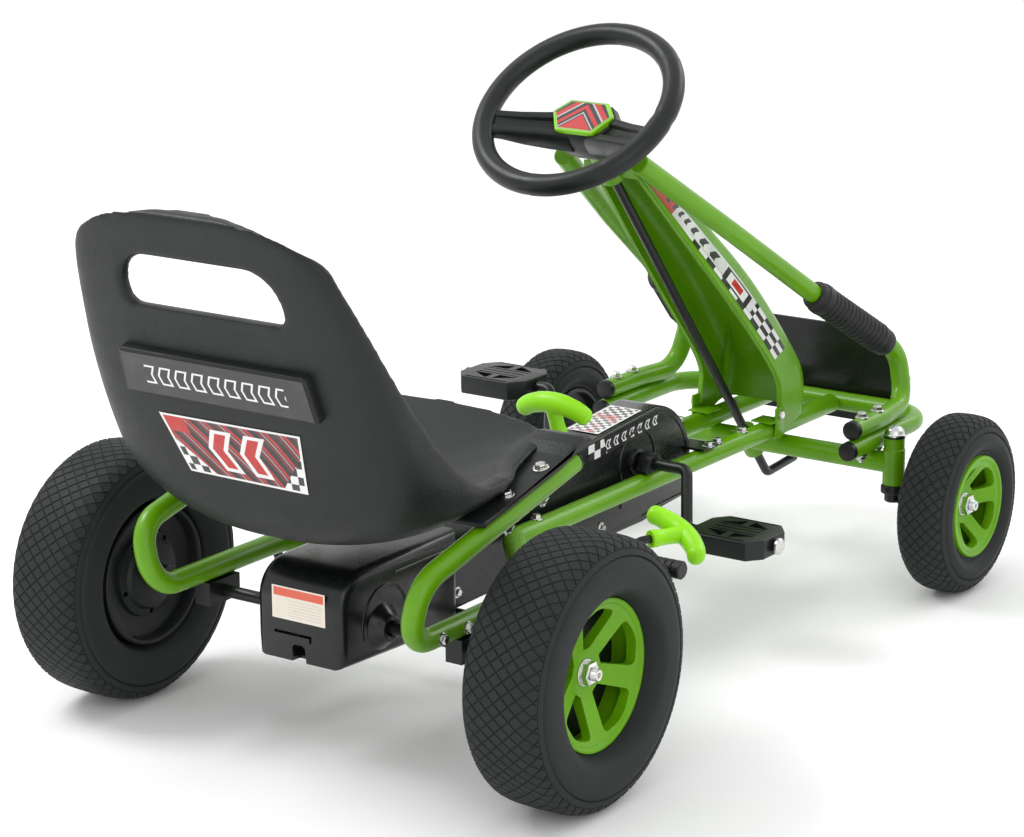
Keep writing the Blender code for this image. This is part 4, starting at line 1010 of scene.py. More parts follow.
def build_wheel(stem, side, y, wheel, tyre_body, spoke_angle):
    """Tyre with raised diamonds, a conical five-spoke face and a black inner disc."""
    half = wheel["width"] / 2
    rim = wheel["rim"]
    centre = at(side * (wheel["outer_x"] - half), y, wheel["radius"])
    along = (side, 0, 0)
    place = axis_matrix(centre, along)

    contour = tyre_contour(wheel)
    profile = contour[::-1] + [(radius, -out) for radius, out in contour[1:]]
    # The carcass shows only between the tread blocks; its darker rubber is painted shade in the grooves.
    add_piece(stem + "_carcass", lathe(profile, centre, along, 120), "groove", tyre_body,
              [stem + "_tyre"], sharp=40)
    add_piece(stem + "_tread", tread_blocks(wheel, place), "tyre", tyre_body, [stem + "_tyre"], sharp=20)
    wall = contour[5:]
    for sign in (1, -1):
        skin = [(r + 0.0001, sign * (x + 0.00025)) for r, x in wall]
        back = [(r - 0.0006, sign * (x - 0.0006)) for r, x in wall][::-1]
        label = "outer" if sign > 0 else "inner"
        add_piece(f"{stem}_sidewall_{label}", lathe(skin + back, centre, along, 120), "tyre", tyre_body,
                  [stem + "_tyre"], sharp=40)

    face = half - wheel["recess"]
    lip = half - wheel["lip"]
    deep = face - 0.0155
    bore = AXLE_BORE
    profile = [
        (rim, deep), (rim, lip - 0.0016), (rim - 0.0006, lip - 0.0003), (rim - 0.0018, lip),
        (rim - 0.0038, lip - 0.0002), (rim - 0.0050, lip - 0.0010), (rim - 0.0060, lip - 0.0022),
        (rim - 0.0100, lip - 0.0026), (rim - 0.0114, lip - 0.0032), (0.0230, face + 0.0018),
        (0.0190, face + 0.0002), (0.0165, face), (0.0150, face - 0.0004), (0.0135, face),
        (bore, face), (bore, deep), (0.0150, deep), (0.0170, face - 0.0090), (0.0230, face - 0.0085),
        (rim - 0.0120, lip - 0.0125), (rim - 0.0042, lip - 0.0135), (rim - 0.0036, deep),
    ]
    name = stem + "_spokes"
    piece = turned(name, profile, centre, along, "rim", tyre_body, [stem + "_rim"], 120)
    cutters = []
    window = spoke_window(wheel)
    for index in range(SPOKES):
        outline = turned_outline(window, spoke_angle - 90 + SPOKE_PITCH * index)
        cutters.append(loft([[centre + Vector((side * depth, dy, dz)) for dy, dz in outline]
                             for depth in (deep - 0.004, lip + 0.012)]))
    carve(piece, cutters, bevel=0.0009)

    back = [
        (rim - 0.0006, deep - 0.0004), (rim - 0.0006, 0.0062 - half), (rim - 0.0020, 0.0050 - half),
        (rim - 0.0050, 0.0050 - half), (rim - 0.0062, 0.0075 - half), (rim - 0.0075, 0.0160 - half),
        (rim * 0.62, 0.0175 - half), (rim * 0.60, 0.0130 - half), (rim * 0.50, 0.0110 - half),
        (rim * 0.46, 0.0070 - half), (0.0190, 0.0060 - half), (0.0140, 0.0052 - half),
        (0.0132, 0.0018 - half), (bore, 0.0018 - half), (bore, deep - 0.0004),
    ]
    disc = turned(stem + "_inner_disc", back, centre, along, "disc", tyre_body, [stem + "_rim"], 96)
    holes = []
    for index in range(SPOKES):
        turn = math.radians(spoke_angle + SPOKE_PITCH / 2 + SPOKE_PITCH * index)
        offset = Vector((0, math.cos(turn), math.sin(turn))) * rim * 0.54
        start = centre + offset + Vector((-side * (half + 0.01), 0, 0))
        end = centre + offset + Vector((-side * (half - 0.0200), 0, 0))
        holes.append(bar([start, end], 0.0028, 20, 0.0001))
    carve(disc, holes, bevel=0.0006)


def build_hub_nut(stem, side, y, wheel, body):
    """Washer, hexagon nut and the hollow end of the threaded axle."""
    half = wheel["width"] / 2
    face = half - wheel["recess"] + 0.0002
    centre = at(side * (wheel["outer_x"] - half + face), y, wheel["radius"])
    parts = bolt_parts(centre, (side, 0, 0), across_flats=0.0195, height=0.0092, washer=0.0125)
    stud = 0.0058
    profile = [(stud - 0.0006, 0.0078), (stud, 0.0078)]
    for thread in range(5):
        low = 0.0094 + thread * 0.0010
        profile += [(stud, low), (stud - 0.0004, low + 0.0005)]
    profile += [(stud - 0.0008, 0.0148), (0.0026, 0.0148), (0.0022, 0.0140), (0.0022, 0.0078)]
    parts.append(lathe(profile, centre, (side, 0, 0), 24))
    add_piece(stem + "_nut", merged(parts), "zinc", body, [stem + "_hub_nut"], sharp=30)


def build_wheels():
    """The right rear wheel turns with the axle and the left one turns on it."""
    for side in (1, -1):
        rear = side_name("rear", side)
        front = side_name("front", side)
        rear_body = "rear_axle" if side > 0 else "rear_wheel_left"
        build_wheel(rear, side, 0.0, REAR_WHEEL, rear_body, 90)
        build_hub_nut(rear, side, 0.0, REAR_WHEEL, "rear_axle")
        front_body = side_name("front_wheel", side)
        build_wheel(front, side, WHEELBASE, FRONT_WHEEL, front_body, 42)
        build_hub_nut(front, side, WHEELBASE, FRONT_WHEEL, front_body)


# ---------------------------------------------------------------- seat
SEAT_STATIONS = (
    # centre y, centre z, rim y, rim z, half-width, squareness of the section (1 is an ellipse)
    (-0.2054, 0.5345, -0.2034, 0.5335, 0.0640, 0.60),
    (-0.2038, 0.5280, -0.1983, 0.5260, 0.0940, 0.60),
    (-0.2006, 0.5180, -0.1906, 0.5150, 0.1170, 0.50),
    (-0.1956, 0.5030, -0.1771, 0.5020, 0.1361, 0.45),
    (-0.1880, 0.4780, -0.1680, 0.4800, 0.1455, 0.45),
    (-0.1730, 0.4330, -0.1480, 0.4420, 0.1555, 0.45),
    (-0.1570, 0.3800, -0.1220, 0.3960, 0.1642, 0.45),
    (-0.1410, 0.3280, -0.0890, 0.3500, 0.1690, 0.45),
    (-0.1260, 0.2800, -0.0520, 0.3080, 0.1710, 0.50),
    (-0.1130, 0.2450, -0.0200, 0.2850, 0.1700, 0.70),
    (-0.0900, 0.2240, 0.0060, 0.2750, 0.1690, 0.90),
    (-0.0350, 0.2220, 0.0380, 0.2760, 0.1690, 1.00),
    (0.0300, 0.2330, 0.0560, 0.2720, 0.1600, 1.00),
    (0.0700, 0.2425, 0.0840, 0.2730, 0.1450, 1.00),
    (0.1200, 0.2560, 0.1240, 0.2790, 0.1360, 1.00),
    (0.1550, 0.2680, 0.1560, 0.2820, 0.1330, 1.00),
    (0.1760, 0.2750, 0.1730, 0.2800, 0.1240, 1.00),
)
SEAT_COLUMNS = 40
SEAT_STEPS = 6
SEAT_WALL = 0.0130
SEAT_RIM_WALL = 0.0215
SEAT_VOXEL = 0.0024
HOLE_HALF_WIDTH = 0.0875
HOLE_LOW_Z = 0.4445
HOLE_TOP_Z = 0.4920
HOLE_CORNER = 0.033


def section_row(centre_y, centre_z, rim_y, rim_z, half, squareness):
    """Points across one section of the seat, from its left rim to its right rim."""
    row = []
    for column in range(-SEAT_COLUMNS, SEAT_COLUMNS + 1):
        angle = math.pi / 2 * abs(column) / SEAT_COLUMNS
        across = math.sin(angle) ** squareness
        rise = 1 - max(0.0, math.cos(angle)) ** squareness
        row.append(at(math.copysign(half * across, column),
                      centre_y + (rim_y - centre_y) * rise, centre_z + (rim_z - centre_z) * rise))
    return row


def seat_grids():
    """Outer and inner surface of the seat as rows of points. The wall is thicker at its rim."""
    stations = curve_rows(SEAT_STATIONS, SEAT_STEPS)
    outer, inner = [], []
    last = len(stations) - 1
    for index, station in enumerate(stations):
        before, after = stations[max(index - 1, 0)], stations[min(index + 1, last)]
        along = Vector((after[0] - before[0], after[1] - before[1])).normalized()
        from_end = min(index, last - index) / (2.5 * SEAT_STEPS)
        wall = SEAT_WALL + (SEAT_RIM_WALL - SEAT_WALL) * max(0.0, 1 - from_end)
        centre_y, centre_z, rim_y, rim_z, half, squareness = station
        outer.append(section_row(*station))
        drop = 0.004 * max(0.0, 1 - index / (2.0 * SEAT_STEPS))
        inner.append(section_row(centre_y - along.y * wall, centre_z + along.x * wall - drop,
                                 rim_y + 0.0005, rim_z + 0.0005 - drop, half - SEAT_RIM_WALL, squareness))
    return outer, inner


def closed_shell(outer, inner):
    """Vertices and faces of a shell between two grids of points."""
    rows, columns = len(outer), len(outer[0])
    vertices = [point for grid in (outer, inner) for row in grid for point in row]
    offset = rows * columns
    faces = []
    for i in range(rows - 1):
        for j in range(columns - 1):
            a = i * columns + j
            quad = (a, a + columns, a + columns + 1, a + 1)
            faces.append(quad)
            faces.append(tuple(offset + index for index in quad[::-1]))
    rim = list(range(columns))
    rim += [i * columns + columns - 1 for i in range(1, rows)]
    rim += [(rows - 1) * columns + j for j in range(columns - 2, -1, -1)]
    rim += [i * columns for i in range(rows - 2, 0, -1)]
    for here, following in zip(rim, rim[1:] + rim[:1]):
        faces.append((here, following, offset + following, offset + here))
    return vertices, faces


def build_seat():
    """Blow-moulded bucket: a shell with a handle hole, remeshed and eased so every edge is soft."""
    outer, inner = seat_grids()
    seat = add_piece("seat_skin", closed_shell(outer, inner), "seat", "seat", ["seat_shell"], sharp=None)
    carve(seat, [prism(hole_outline(), -0.300, -0.120)], sharp=None)
    remesh = seat.modifiers.new("remesh", "REMESH")
    remesh.mode = "VOXEL"
    remesh.voxel_size = SEAT_VOXEL
    ease = seat.modifiers.new("ease", "SMOOTH")
    ease.factor = 0.5
    ease.iterations = 22
    apply_modifiers(seat)
    shade(seat, None)
    count = len(outer[0])
    skin_faces = [(a, a + count, a + count + 1, a + 1)
                  for a in (i * count + j for i in range(len(outer) - 1) for j in range(count - 1))]
    return BVHTree.FromPolygons([tuple(p) for row in outer for p in row], skin_faces)


def hole_outline():
    """Outline of the handle hole: small corners below, large ones above."""
    half, low, top = HOLE_HALF_WIDTH, HOLE_LOW_Z, HOLE_TOP_Z
    corner = HOLE_CORNER
    foot = 0.009
    outline = arc((-half + foot, low + foot), foot, 180, 270, 6)
    outline += [(half * share, low) for share in (-0.6, -0.3, 0.0, 0.3, 0.6)]
    outline += arc((half - foot, low + foot), foot, -90, 0, 6)
    outline += arc((half - corner, top - corner), corner, 0, 90, 10)
    outline += [(half * share, top) for share in (0.4, 0.2, 0.0, -0.2, -0.4)]
    outline += arc((-half + corner, top - corner), corner, 90, 180, 10)
    return outline


def on_skin(outer, x, z):
    """Point and outward normal of the seat's back at a place seen from behind."""
    start = at(x, -0.500, z)
    point, normal, _, _ = outer.ray_cast(start, Vector((0, 1, 0)))
    if normal.y > 0:
        normal = -normal
    return point, normal


def spread(corners, columns, rows):
    """Grid of points between four corners, row by row from below."""
    low_left, low_right, top_right, top_left = (Vector(corner) for corner in corners)
    points = []
    for row in range(rows + 1):
        for column in range(columns + 1):
            u, v = column / columns, row / rows
            points.append(low_left.lerp(low_right, u).lerp(top_left.lerp(top_right, u), v))
    return points


def skin_patch(name, outer, corners, look, lift, columns=40, rows=14):
    """Thin sheet on the seat's back between four (x, z) corners, given left to right from below."""
    vertices = []
    for place in spread(corners, columns, rows):
        point, normal = on_skin(outer, place.x, place.y)
        vertices.append(point + normal * lift)
    faces, uvs = uv_grid(columns, rows)
    return add_piece(name, (vertices, faces), look, "seat", uvs=uvs, sharp=None)


def uv_grid(columns, rows):
    """Faces and UVs of a grid of points stored row by row."""
    faces = []
    uvs = []
    for row in range(rows):
        for column in range(columns):
            a = row * (columns + 1) + column
            faces.append((a, a + 1, a + columns + 2, a + columns + 1))
            for du, dv in ((0, 0), (1, 0), (1, 1), (0, 1)):
                uvs.append(((column + du) / columns, (row + dv) / rows))
    return faces, uvs


def flat_patch(name, corners, look, body):
    """Thin flat sheet between four points in the row frame, left to right from below."""
    columns, rows = 12, 4
    vertices = spread(corners, columns, rows)
    faces, uvs = uv_grid(columns, rows)
    return add_piece(name, (vertices, faces), look, body, uvs=uvs, sharp=None)


BAR_CENTRE = (0.0, -0.1577, 0.3815)
BAR_LEAN = math.atan2(0.0159, 0.0500)


def build_seat_bar(outer):
    """Raised bar on the back with a slanted right end, its sticker and the large sticker below."""
    outline = rounded_polygon([(-0.108, -0.0225), (0.108, -0.0225), (0.1035, 0.0225), (-0.105, 0.0225)],
                              0.004, 4)
    place = Matrix.Translation(at(*BAR_CENTRE)) @ Matrix.Rotation(BAR_LEAN, 4, "X")
    mesh = plate_mesh([outline], 0.0150, 0.0022, place @ Matrix.Translation((0, 0.0004, 0)) @ PLANES["XZ"])
    add_mesh_piece("seat_bar", mesh, "seat", "seat", ["seat_back_bar"])
    corners = [(-0.1045, -0.0195), (0.1040, -0.0195), (0.1005, 0.0195), (-0.1020, 0.0195)]
    flat_patch("seat_bar_print", [place @ Vector((x, -0.0075, z)) for x, z in corners],
               bar_sticker(), "seat")
    skin_patch("seat_print", outer, [(-0.062, 0.2855), (0.070, 0.2845), (0.076, 0.3415), (-0.083, 0.3400)],
               seat_sticker(), 0.0007)


def seat_rail_z(y):
    return RAIL_FRONT[1] + RAIL_SLOPE * (y - RAIL_FRONT[0])


def build_seat_flanges():
    """Moulded foot along each rail, with its bolts."""
    bolts = []
    for side in (1, -1):
        lift = TUBE_RADIUS * math.sqrt(1 + RAIL_SLOPE ** 2) + 0.0014
        outline = [(-0.008, seat_rail_z(-0.008) + lift), (0.158, seat_rail_z(0.158) + lift),
                   (0.1650, 0.2820), (0.1620, 0.2860), (0.1500, 0.2880), (0.1360, 0.2840), (0.1240, 0.2750),
                   (0.1100, 0.2700), (0.0300, 0.2520), (-0.008, 0.2460)]
        outline = rounded_polygon(outline, 0.005, 4)
        place = Matrix.Translation(at(side * 0.1440, 0, 0)) @ PLANES["YZ"]
        mesh = plate_mesh([outline], 0.0540, 0.0030, place)
        add_mesh_piece(side_name("seat_foot", side), mesh, "seat", "seat", ["seat_shell"])
        up = Vector((0, -0.2285, 0.9735))
        for y, head_z in ((0.0460, 0.2555), (0.1010, 0.2680)):
            under_z = seat_rail_z(y) - lift - 0.0005
            bolts.append(((side * 0.1560, y, under_z), -up, 0.010, 0.0058, 0.0075, 0.003))
            bolts.append(((side * 0.1560, y, head_z), up, 0.010, 0.0048, 0.0078))
    add_bolts("seat_bolts", "seat", bolts)


# ---------------------------------------------------------------- casings
CASE_HALF = 0.0497
CASE_REAR_Y = -0.0602
CASE_FRONT_Y = 0.120
GUARD_HALF = 0.0245
CASE_SLOPE = 0.0828
NOTCH_OUTLINE = ((-0.009, 0.085), (0.008, 0.085), (0.0068, 0.1115), (0.0040, 0.1140),
                 (-0.0050, 0.1140), (-0.0078, 0.1115))


def casing_top_z(y):
    return 0.1767 + CASE_SLOPE * y


def case_outline(inset, front_y):
    top = casing_top_z(CASE_FRONT_Y) - inset
    outline = [(front_y, top), (-0.020, top - 0.0006)]
    outline += arc((CASE_REAR_Y + 0.034, 0.1516), 0.034 - inset, 88, 180, 12)
    outline += [(CASE_REAR_Y + inset * 0.9, 0.1200), (CASE_REAR_Y + 0.0012 + inset, 0.0975 + inset)]
    outline += [(0.035, 0.0940 + inset), (front_y, 0.0952 + inset)]
    return outline


def build_chain_case():
    """Wide moulded case round the axle sprocket, with a boss, an arched rib and a label."""
    place = Matrix.Translation(at(0, 0, 0)) @ PLANES["YZ"]
    shell = plate_mesh([case_outline(0.0, CASE_FRONT_Y)], 2 * CASE_HALF, 0.0095, place)
    case = add_mesh_piece("chain_case_shell", shell, "casing", "frame", ["chain_case"])
    hollow = plate_mesh([case_outline(0.003, CASE_FRONT_Y + 0.03)], 2 * (CASE_HALF - 0.003), 0.007, place)
    slot = block((-0.0280, CASE_REAR_Y - 0.010, 0.1222), (0.0150, CASE_REAR_Y + 0.004, 0.1250))
    tick = block((0.0122, CASE_REAR_Y - 0.010, 0.1180), (0.0150, CASE_REAR_Y + 0.004, 0.1230))
    notch = prism(NOTCH_OUTLINE, CASE_REAR_Y - 0.01, CASE_REAR_Y + 0.012)
    for tool in (hollow, slot, tick, notch):
        carve(case, [tool], sharp=40)
    ribs = []
    for side in (1, -1):
        profile = [(0.0075, 0.0), (0.0225, 0.0), (0.0215, 0.0026), (0.0150, 0.0085),
                   (0.0125, 0.0125), (0.0100, 0.0132), (0.0075, 0.0120)]
        ribs.append(lathe(profile, at(side * (CASE_HALF - 0.0012), 0, 0.125), (side, 0, 0), 72))
        path = [at(side * (CASE_HALF - 0.0003), y, z) for y, z in
                arc((0.004, 0.1300), 0.0335, 200, -20, 30)]
        path += [at(side * (CASE_HALF - 0.0003), 0.0450, 0.1050)]
        ribs.append(sweep(path, 0.0016, 10))
        seam = [at(side * (CASE_HALF - 0.0003), y, casing_top_z(CASE_FRONT_Y) - 0.0150)
                for y in (0.020, 0.060, 0.118)]
        ribs.append(sweep(seam, 0.0012, 10))
    add_piece("chain_case_bosses", merged(ribs), "casing", "frame", ["chain_case"], sharp=30)
    y = CASE_REAR_Y - 0.0004
    corners = [at(-0.0295, y, 0.1365), at(0.0315, y, 0.1365), at(0.0315, y, 0.1675), at(-0.0295, y, 0.1675)]
    flat_patch("chain_case_label", corners, plain_label(), "frame")


def guard_outline(inset, rear_y):
    top_angle = 90 - math.degrees(math.atan(CASE_SLOPE))
    outline = [(rear_y, casing_top_z(rear_y) - inset), (rear_y, 0.0945 + inset), (0.430, 0.0990 + inset)]
    outline += arc((0.480, 0.1435), 0.0445 - inset, -92, -62, 4)
    outline += arc((0.4985, 0.1435), 0.0745 - inset, -28, top_angle, 28)
    return outline


def build_chain_guard():
    """Long moulded cover over the chain and chainring, with its stickers and reliefs."""
    place = Matrix.Translation(at(0, 0, 0)) @ PLANES["YZ"]
    shell = plate_mesh([guard_outline(0.0, CASE_FRONT_Y + 0.0004)], 2 * GUARD_HALF, 0.0032, place)
    guard = add_mesh_piece("chain_guard_shell", shell, "casing", "frame", ["chain_guard"])
    hollow = plate_mesh([guard_outline(0.0022, CASE_FRONT_Y - 0.02)], 2 * (GUARD_HALF - 0.0022), 0.0020,
                        place)
    crank_hole = bar([at(-0.05, CRANK_Y, CRANK_Z), at(0.05, CRANK_Y, CRANK_Z)], 0.0082, 32, 0.0001)
    lever_slot = block((0.0015, 0.338, 0.185), (0.0165, 0.386, 0.230))
    carve(guard, [hollow, crank_hole, lever_slot], sharp=40)

    trims = []
    for side in (1, -1):
        x = side * (GUARD_HALF - 0.0002)
        path = [at(x, y, z) for y, z in arc((CRANK_Y, CRANK_Z), 0.0330, 205, -25, 32)]
        trims.append(sweep([path[0] + Vector((0, 0, -0.03))] + path + [path[-1] + Vector((0, 0, -0.02))],
                           0.0016, 10))
        edge = [at(x, y, z) for y, z in guard_outline(0.0075, 0.130)[3:]]
        trims.append(sweep(edge, 0.0010, 8))
        collar = [(0.0086, 0.0), (0.0140, 0.0), (0.0130, 0.0032), (0.0100, 0.0048), (0.0086, 0.0048)]
        trims.append(lathe(collar, at(side * (GUARD_HALF - 0.0004), CRANK_Y, CRANK_Z),
                                   (side, 0, 0), 48))
    slot_rim = rounded_polygon([(0.0000, 0.333), (0.0180, 0.333), (0.0180, 0.391), (0.0000, 0.391)], 0.004, 5)
    slot_path = [at(x, y, casing_top_z(y) + 0.0003) for x, y in slot_rim]
    trims.append(sweep(slot_path, 0.0014, 10, closed=True))
    trims.append(block((-0.050, 0.556, 0.1606), (0.050, 0.586, 0.1632)))
    add_piece("chain_guard_ribs", merged(trims), "casing", "frame", ["chain_guard"], sharp=30)

    steps = 18
    low_y, high_y = 0.402, 0.484
    lines = []
    for row in range(steps + 1):
        y = low_y + (high_y - low_y) * row / steps
        lines.append((y, casing_top_z(y) + 0.0005))
    vertices = [at(x, y, z) for y, z in lines for x in (-0.0190, -0.0095, 0.0, 0.0095, 0.0190)]
    faces, uvs = uv_grid(4, steps)
    add_piece("chain_guard_top_print", (vertices, faces), guard_top_sticker(), "frame", uvs=uvs, sharp=None)
    for side in (1, -1):
        x = side * (GUARD_HALF + 0.0005)
        near, far = (0.376, 0.508) if side > 0 else (0.508, 0.376)
        corners = [at(x, near, casing_top_z(near) - 0.0205), at(x, far, casing_top_z(far) - 0.0235),
                   at(x, far, casing_top_z(far) - 0.0065), at(x, near, casing_top_z(near) - 0.0035)]
        name = side_name("chain_guard_print", side)
        flat_patch(name, corners, guard_sticker(name + "_look", 2, 9.0), "frame")


# ---------------------------------------------------------------- frame
def build_frame_tubes():
    """Main tubes, nose tubes and front hoop, with their end plugs."""
    hairpin_y = -0.0900
    for side in (1, -1):
        corners = [
            (side * SEAT_RAIL_X, *RAIL_FRONT),
            (side * SEAT_RAIL_X, hairpin_y, seat_rail_z(hairpin_y)),
            (side * LEG_X, hairpin_y, LEG_Z), (side * LEG_X, 0.095, LEG_Z),
            (side * CENTRE_RAIL_X, 0.220, CENTRE_RAIL_Z),
            (side * CENTRE_RAIL_X, HOOP_FRONT_Y - TUBE_RADIUS - 0.0003, CENTRE_RAIL_Z),
        ]
        name = side_name("main_tube", side)
        tube(name + "_bent", corners, TUBE_RADIUS, "paint", "frame", [name], 0.031)
        plug = [(0.0, -0.004), (0.0098, -0.004), (0.0098, 0.0), (0.0105, 0.0004), (0.0105, 0.0018),
                (0.0092, 0.0030), (0.0, 0.0034)]
        along = Vector((0, 1, RAIL_SLOPE)).normalized()
        turned(side_name("seat_rail_plug", side), plug, at(side * SEAT_RAIL_X, *RAIL_FRONT), along,
               "plastic", "frame", (), 32)
        corners = [(0.0450, 0.4350, 0.4850), (0.0725, 0.5626, 0.4000), (0.095, 0.6975, 0.3117),
                   (0.1345, 0.8220, 0.2260), (0.1470, 0.8150, NOSE_LEG_Z), (HOOP_X, 0.7500, NOSE_LEG_Z),
                   (HOOP_X, 0.686, NOSE_LEG_Z)]
        name = side_name("nose_tube", side)
        tube(name + "_bent", [(side * x, y, z) for x, y, z in corners], TUBE_RADIUS, "paint", "frame",
             [name], 0.03)
        for stem, rear_y, z in (("hoop_cap", HOOP_REAR_Y, HOOP_Z), ("nose_cap", 0.686, NOSE_LEG_Z)):
            profile = [(0.0, -0.002), (0.0103, -0.002), (0.0103, 0.0044), (0.0098, 0.0054),
                       (0.0086, 0.0059), (0.0, 0.0060)]
            node = side_name(stem, side)
            turned(node + "_plug", profile, at(side * HOOP_X, rear_y - 0.0003, z), (0, -1, 0),
                   "plastic", "frame", [node], 32)
    corners = [(HOOP_X, HOOP_REAR_Y, HOOP_Z), (HOOP_X, HOOP_FRONT_Y, HOOP_Z), (-HOOP_X, HOOP_FRONT_Y, HOOP_Z),
               (-HOOP_X, HOOP_REAR_Y, HOOP_Z)]
    tube("front_hoop_bent", corners, TUBE_RADIUS, "paint", "frame", ["front_hoop"], 0.045)


def build_grips():
    """Bellows sleeves on the nose tubes, with a stepped collar at each end."""
    for side in (1, -1):
        top = at(side * 0.095, 0.6975, 0.3117)
        bottom = at(side * 0.130, 0.8085, 0.2355)
        length = (top - bottom).length
        half = length / 2 - 0.004
        profile = [(0.0117, -half), (0.0138, -half), (0.0150, -half + 0.003), (0.0158, -half + 0.012),
                   (0.0148, -half + 0.0135)]
        ribs = 14
        first, last = -half + 0.0140, half - 0.0220
        for rib in range(ribs):
            start = first + (last - first) * rib / ribs
            pitch = (last - first) / ribs
            profile += [(0.0146, start), (0.0146, start + pitch * 0.22), (0.0164, start + pitch * 0.42),
                        (0.0168, start + pitch * 0.62), (0.0164, start + pitch * 0.80)]
        profile += [(0.0146, last), (0.0148, last + 0.0015), (0.0172, last + 0.0030),
                    (0.0176, last + 0.0060), (0.0172, last + 0.0115), (0.0158, last + 0.0125),
                    (0.0156, half - 0.0035), (0.0146, half - 0.0010), (0.0132, half), (0.0117, half)]
        node = side_name("nose_grip", side)
        turned(node + "_bellows", profile, (top + bottom) / 2, top - bottom, "grip", "frame", [node], 48, 50)


def build_front_beam():
    """Axle beam with a housing for each kingpin and a collar for the column's foot."""
    housing = (0.104, 0.157)
    beam_z = 0.1270
    parts = [rod((-KINGPIN_X, WHEELBASE, beam_z), (KINGPIN_X, WHEELBASE, beam_z), 0.0115, 32)]
    bore = 0.0066
    for side in (1, -1):
        centre = at(side * KINGPIN_X, WHEELBASE, 0.0)
        profile = [(bore, housing[0]), (0.0114, housing[0]), (0.0120, 0.1048), (0.0120, 0.1430),
                   (0.0112, 0.1440), (0.0112, 0.1560), (0.0104, housing[1]), (bore, housing[1])]
        parts.append(lathe(profile, centre, (0, 0, 1), 48))
    lower = (beam_z - WHEEL_CENTRE.z) / -math.cos(COLUMN_TILT)
    collar = [(0.0056, -0.0165), (0.0112, -0.0165), (0.0118, -0.0158), (0.0118, 0.0198),
              (0.0112, 0.0205), (0.0056, 0.0205)]
    down = on_column(1.0) - on_column(0.0)
    parts.append(lathe(collar, on_column(lower), down, 40))
    add_piece("front_beam_welded", merged(parts), "paint", "frame", ["front_axle_beam"])
    for side in (1, -1):
        profile = [(0.0062, 0.1562), (0.0118, 0.1562), (0.0118, 0.1572), (0.0075, 0.1578), (0.0062, 0.1578)]
        turned(side_name("kingpin_bush", side), profile, at(side * KINGPIN_X, WHEELBASE, 0), (0, 0, 1),
               "plastic", "frame", (), 40)
        nut = [(0.0, 0.1690), (0.0040, 0.1686), (0.0078, 0.1666), (0.0100, 0.1636), (0.0106, 0.1606),
               (0.0112, 0.1600), (0.0114, 0.1582), (0.0066, 0.1582), (0.0066, 0.1600), (0.0, 0.1600)]
        node = side_name("kingpin_nut", side)
        turned(node + "_dome", nut, at(side * KINGPIN_X, WHEELBASE, 0), (0, 0, 1), "zinc",
               side_name("knuckle", side), [node], 40)


def on_column(distance, across=0.0):
    """Row-frame point on the steering column's axis, or off it in the upward-forward sense."""
    down = Vector((0, math.sin(COLUMN_TILT), -math.cos(COLUMN_TILT)))
    forward = Vector((0, math.cos(COLUMN_TILT), math.sin(COLUMN_TILT)))
    return at(*WHEEL_CENTRE) + down * distance + forward * across


TOWER_SECTIONS = (
    # rear edge y, rear edge z, front edge y, front edge z, half-width
    (0.7060, 0.1400, 0.7680, 0.1640, 0.0530),
    (0.7120, 0.1800, 0.7700, 0.2000, 0.0525),
    (0.7025, 0.2170, 0.7500, 0.2350, 0.0500),
    (0.6253, 0.3000, 0.6680, 0.3250, 0.0452),
    (0.5420, 0.3840, 0.5780, 0.4040, 0.0370),
    (0.4979, 0.4300, 0.5250, 0.4460, 0.0315),
    (0.4496, 0.4800, 0.4680, 0.4940, 0.0257),
)
TOWER_STEPS = 6
WEB_STEPS = 18


def between_edges(section, x, blend):
    """Row-frame point at x, between the rear (0) and front (1) edges of a tower section."""
    rear_y, rear_z, front_y, front_z, _ = section
    return at(x, rear_y + (front_y - rear_y) * blend, rear_z + (front_z - rear_z) * blend)


def build_tower():
    """Pressed channel with rolled rear edges, an inner web at the foot and its long stickers."""
    sheet_rows = []
    edges = {1: [], -1: []}
    for section in curve_rows(TOWER_SECTIONS, TOWER_STEPS):
        rear_y, rear_z, _, _, half = section
        row = []
        corner = 0.30 * half
        shape = [(-half, 0.0), (-half, 0.35), (-half, 0.70)]
        for turn in range(0, 91, 15):
            angle = math.radians(turn)
            shape.append((-half + corner * (1 - math.cos(angle)), 0.70 + 0.30 * math.sin(angle)))
        shape += [(0.0, 1.0)]
        shape += [(-x, blend) for x, blend in shape[-2::-1]]
        for x, blend in shape:
            row.append(between_edges(section, x, blend))
        sheet_rows.append(row)
        for side in (1, -1):
            edges[side].append(at(side * half, rear_y, rear_z))
    vertices = [point for row in sheet_rows for point in row]
    faces, _ = uv_grid(len(sheet_rows[0]) - 1, len(sheet_rows) - 1)
    tower = add_piece("tower_channel", (vertices, faces), "paint", "frame", ["steering_tower"], sharp=50)
    sheet = tower.modifiers.new("sheet", "SOLIDIFY")
    sheet.thickness = 0.0018
    sheet.offset = 0.0
    apply_modifiers(tower)
    notches = []
    for side in (1, -1):
        x = side * CENTRE_RAIL_X
        notches.append(rod((x, 0.60, CENTRE_RAIL_Z), (x, 0.86, CENTRE_RAIL_Z), 0.0112, 32))
    notches.append(block((-0.08, WHEELBASE - 0.0122, 0.10), (0.08, WHEELBASE + 0.0122, 0.1392)))
    carve(tower, notches, sharp=45)
    build_tower_flanges(edges)
    build_tower_web()
    build_tower_prints()
    build_tower_feet()


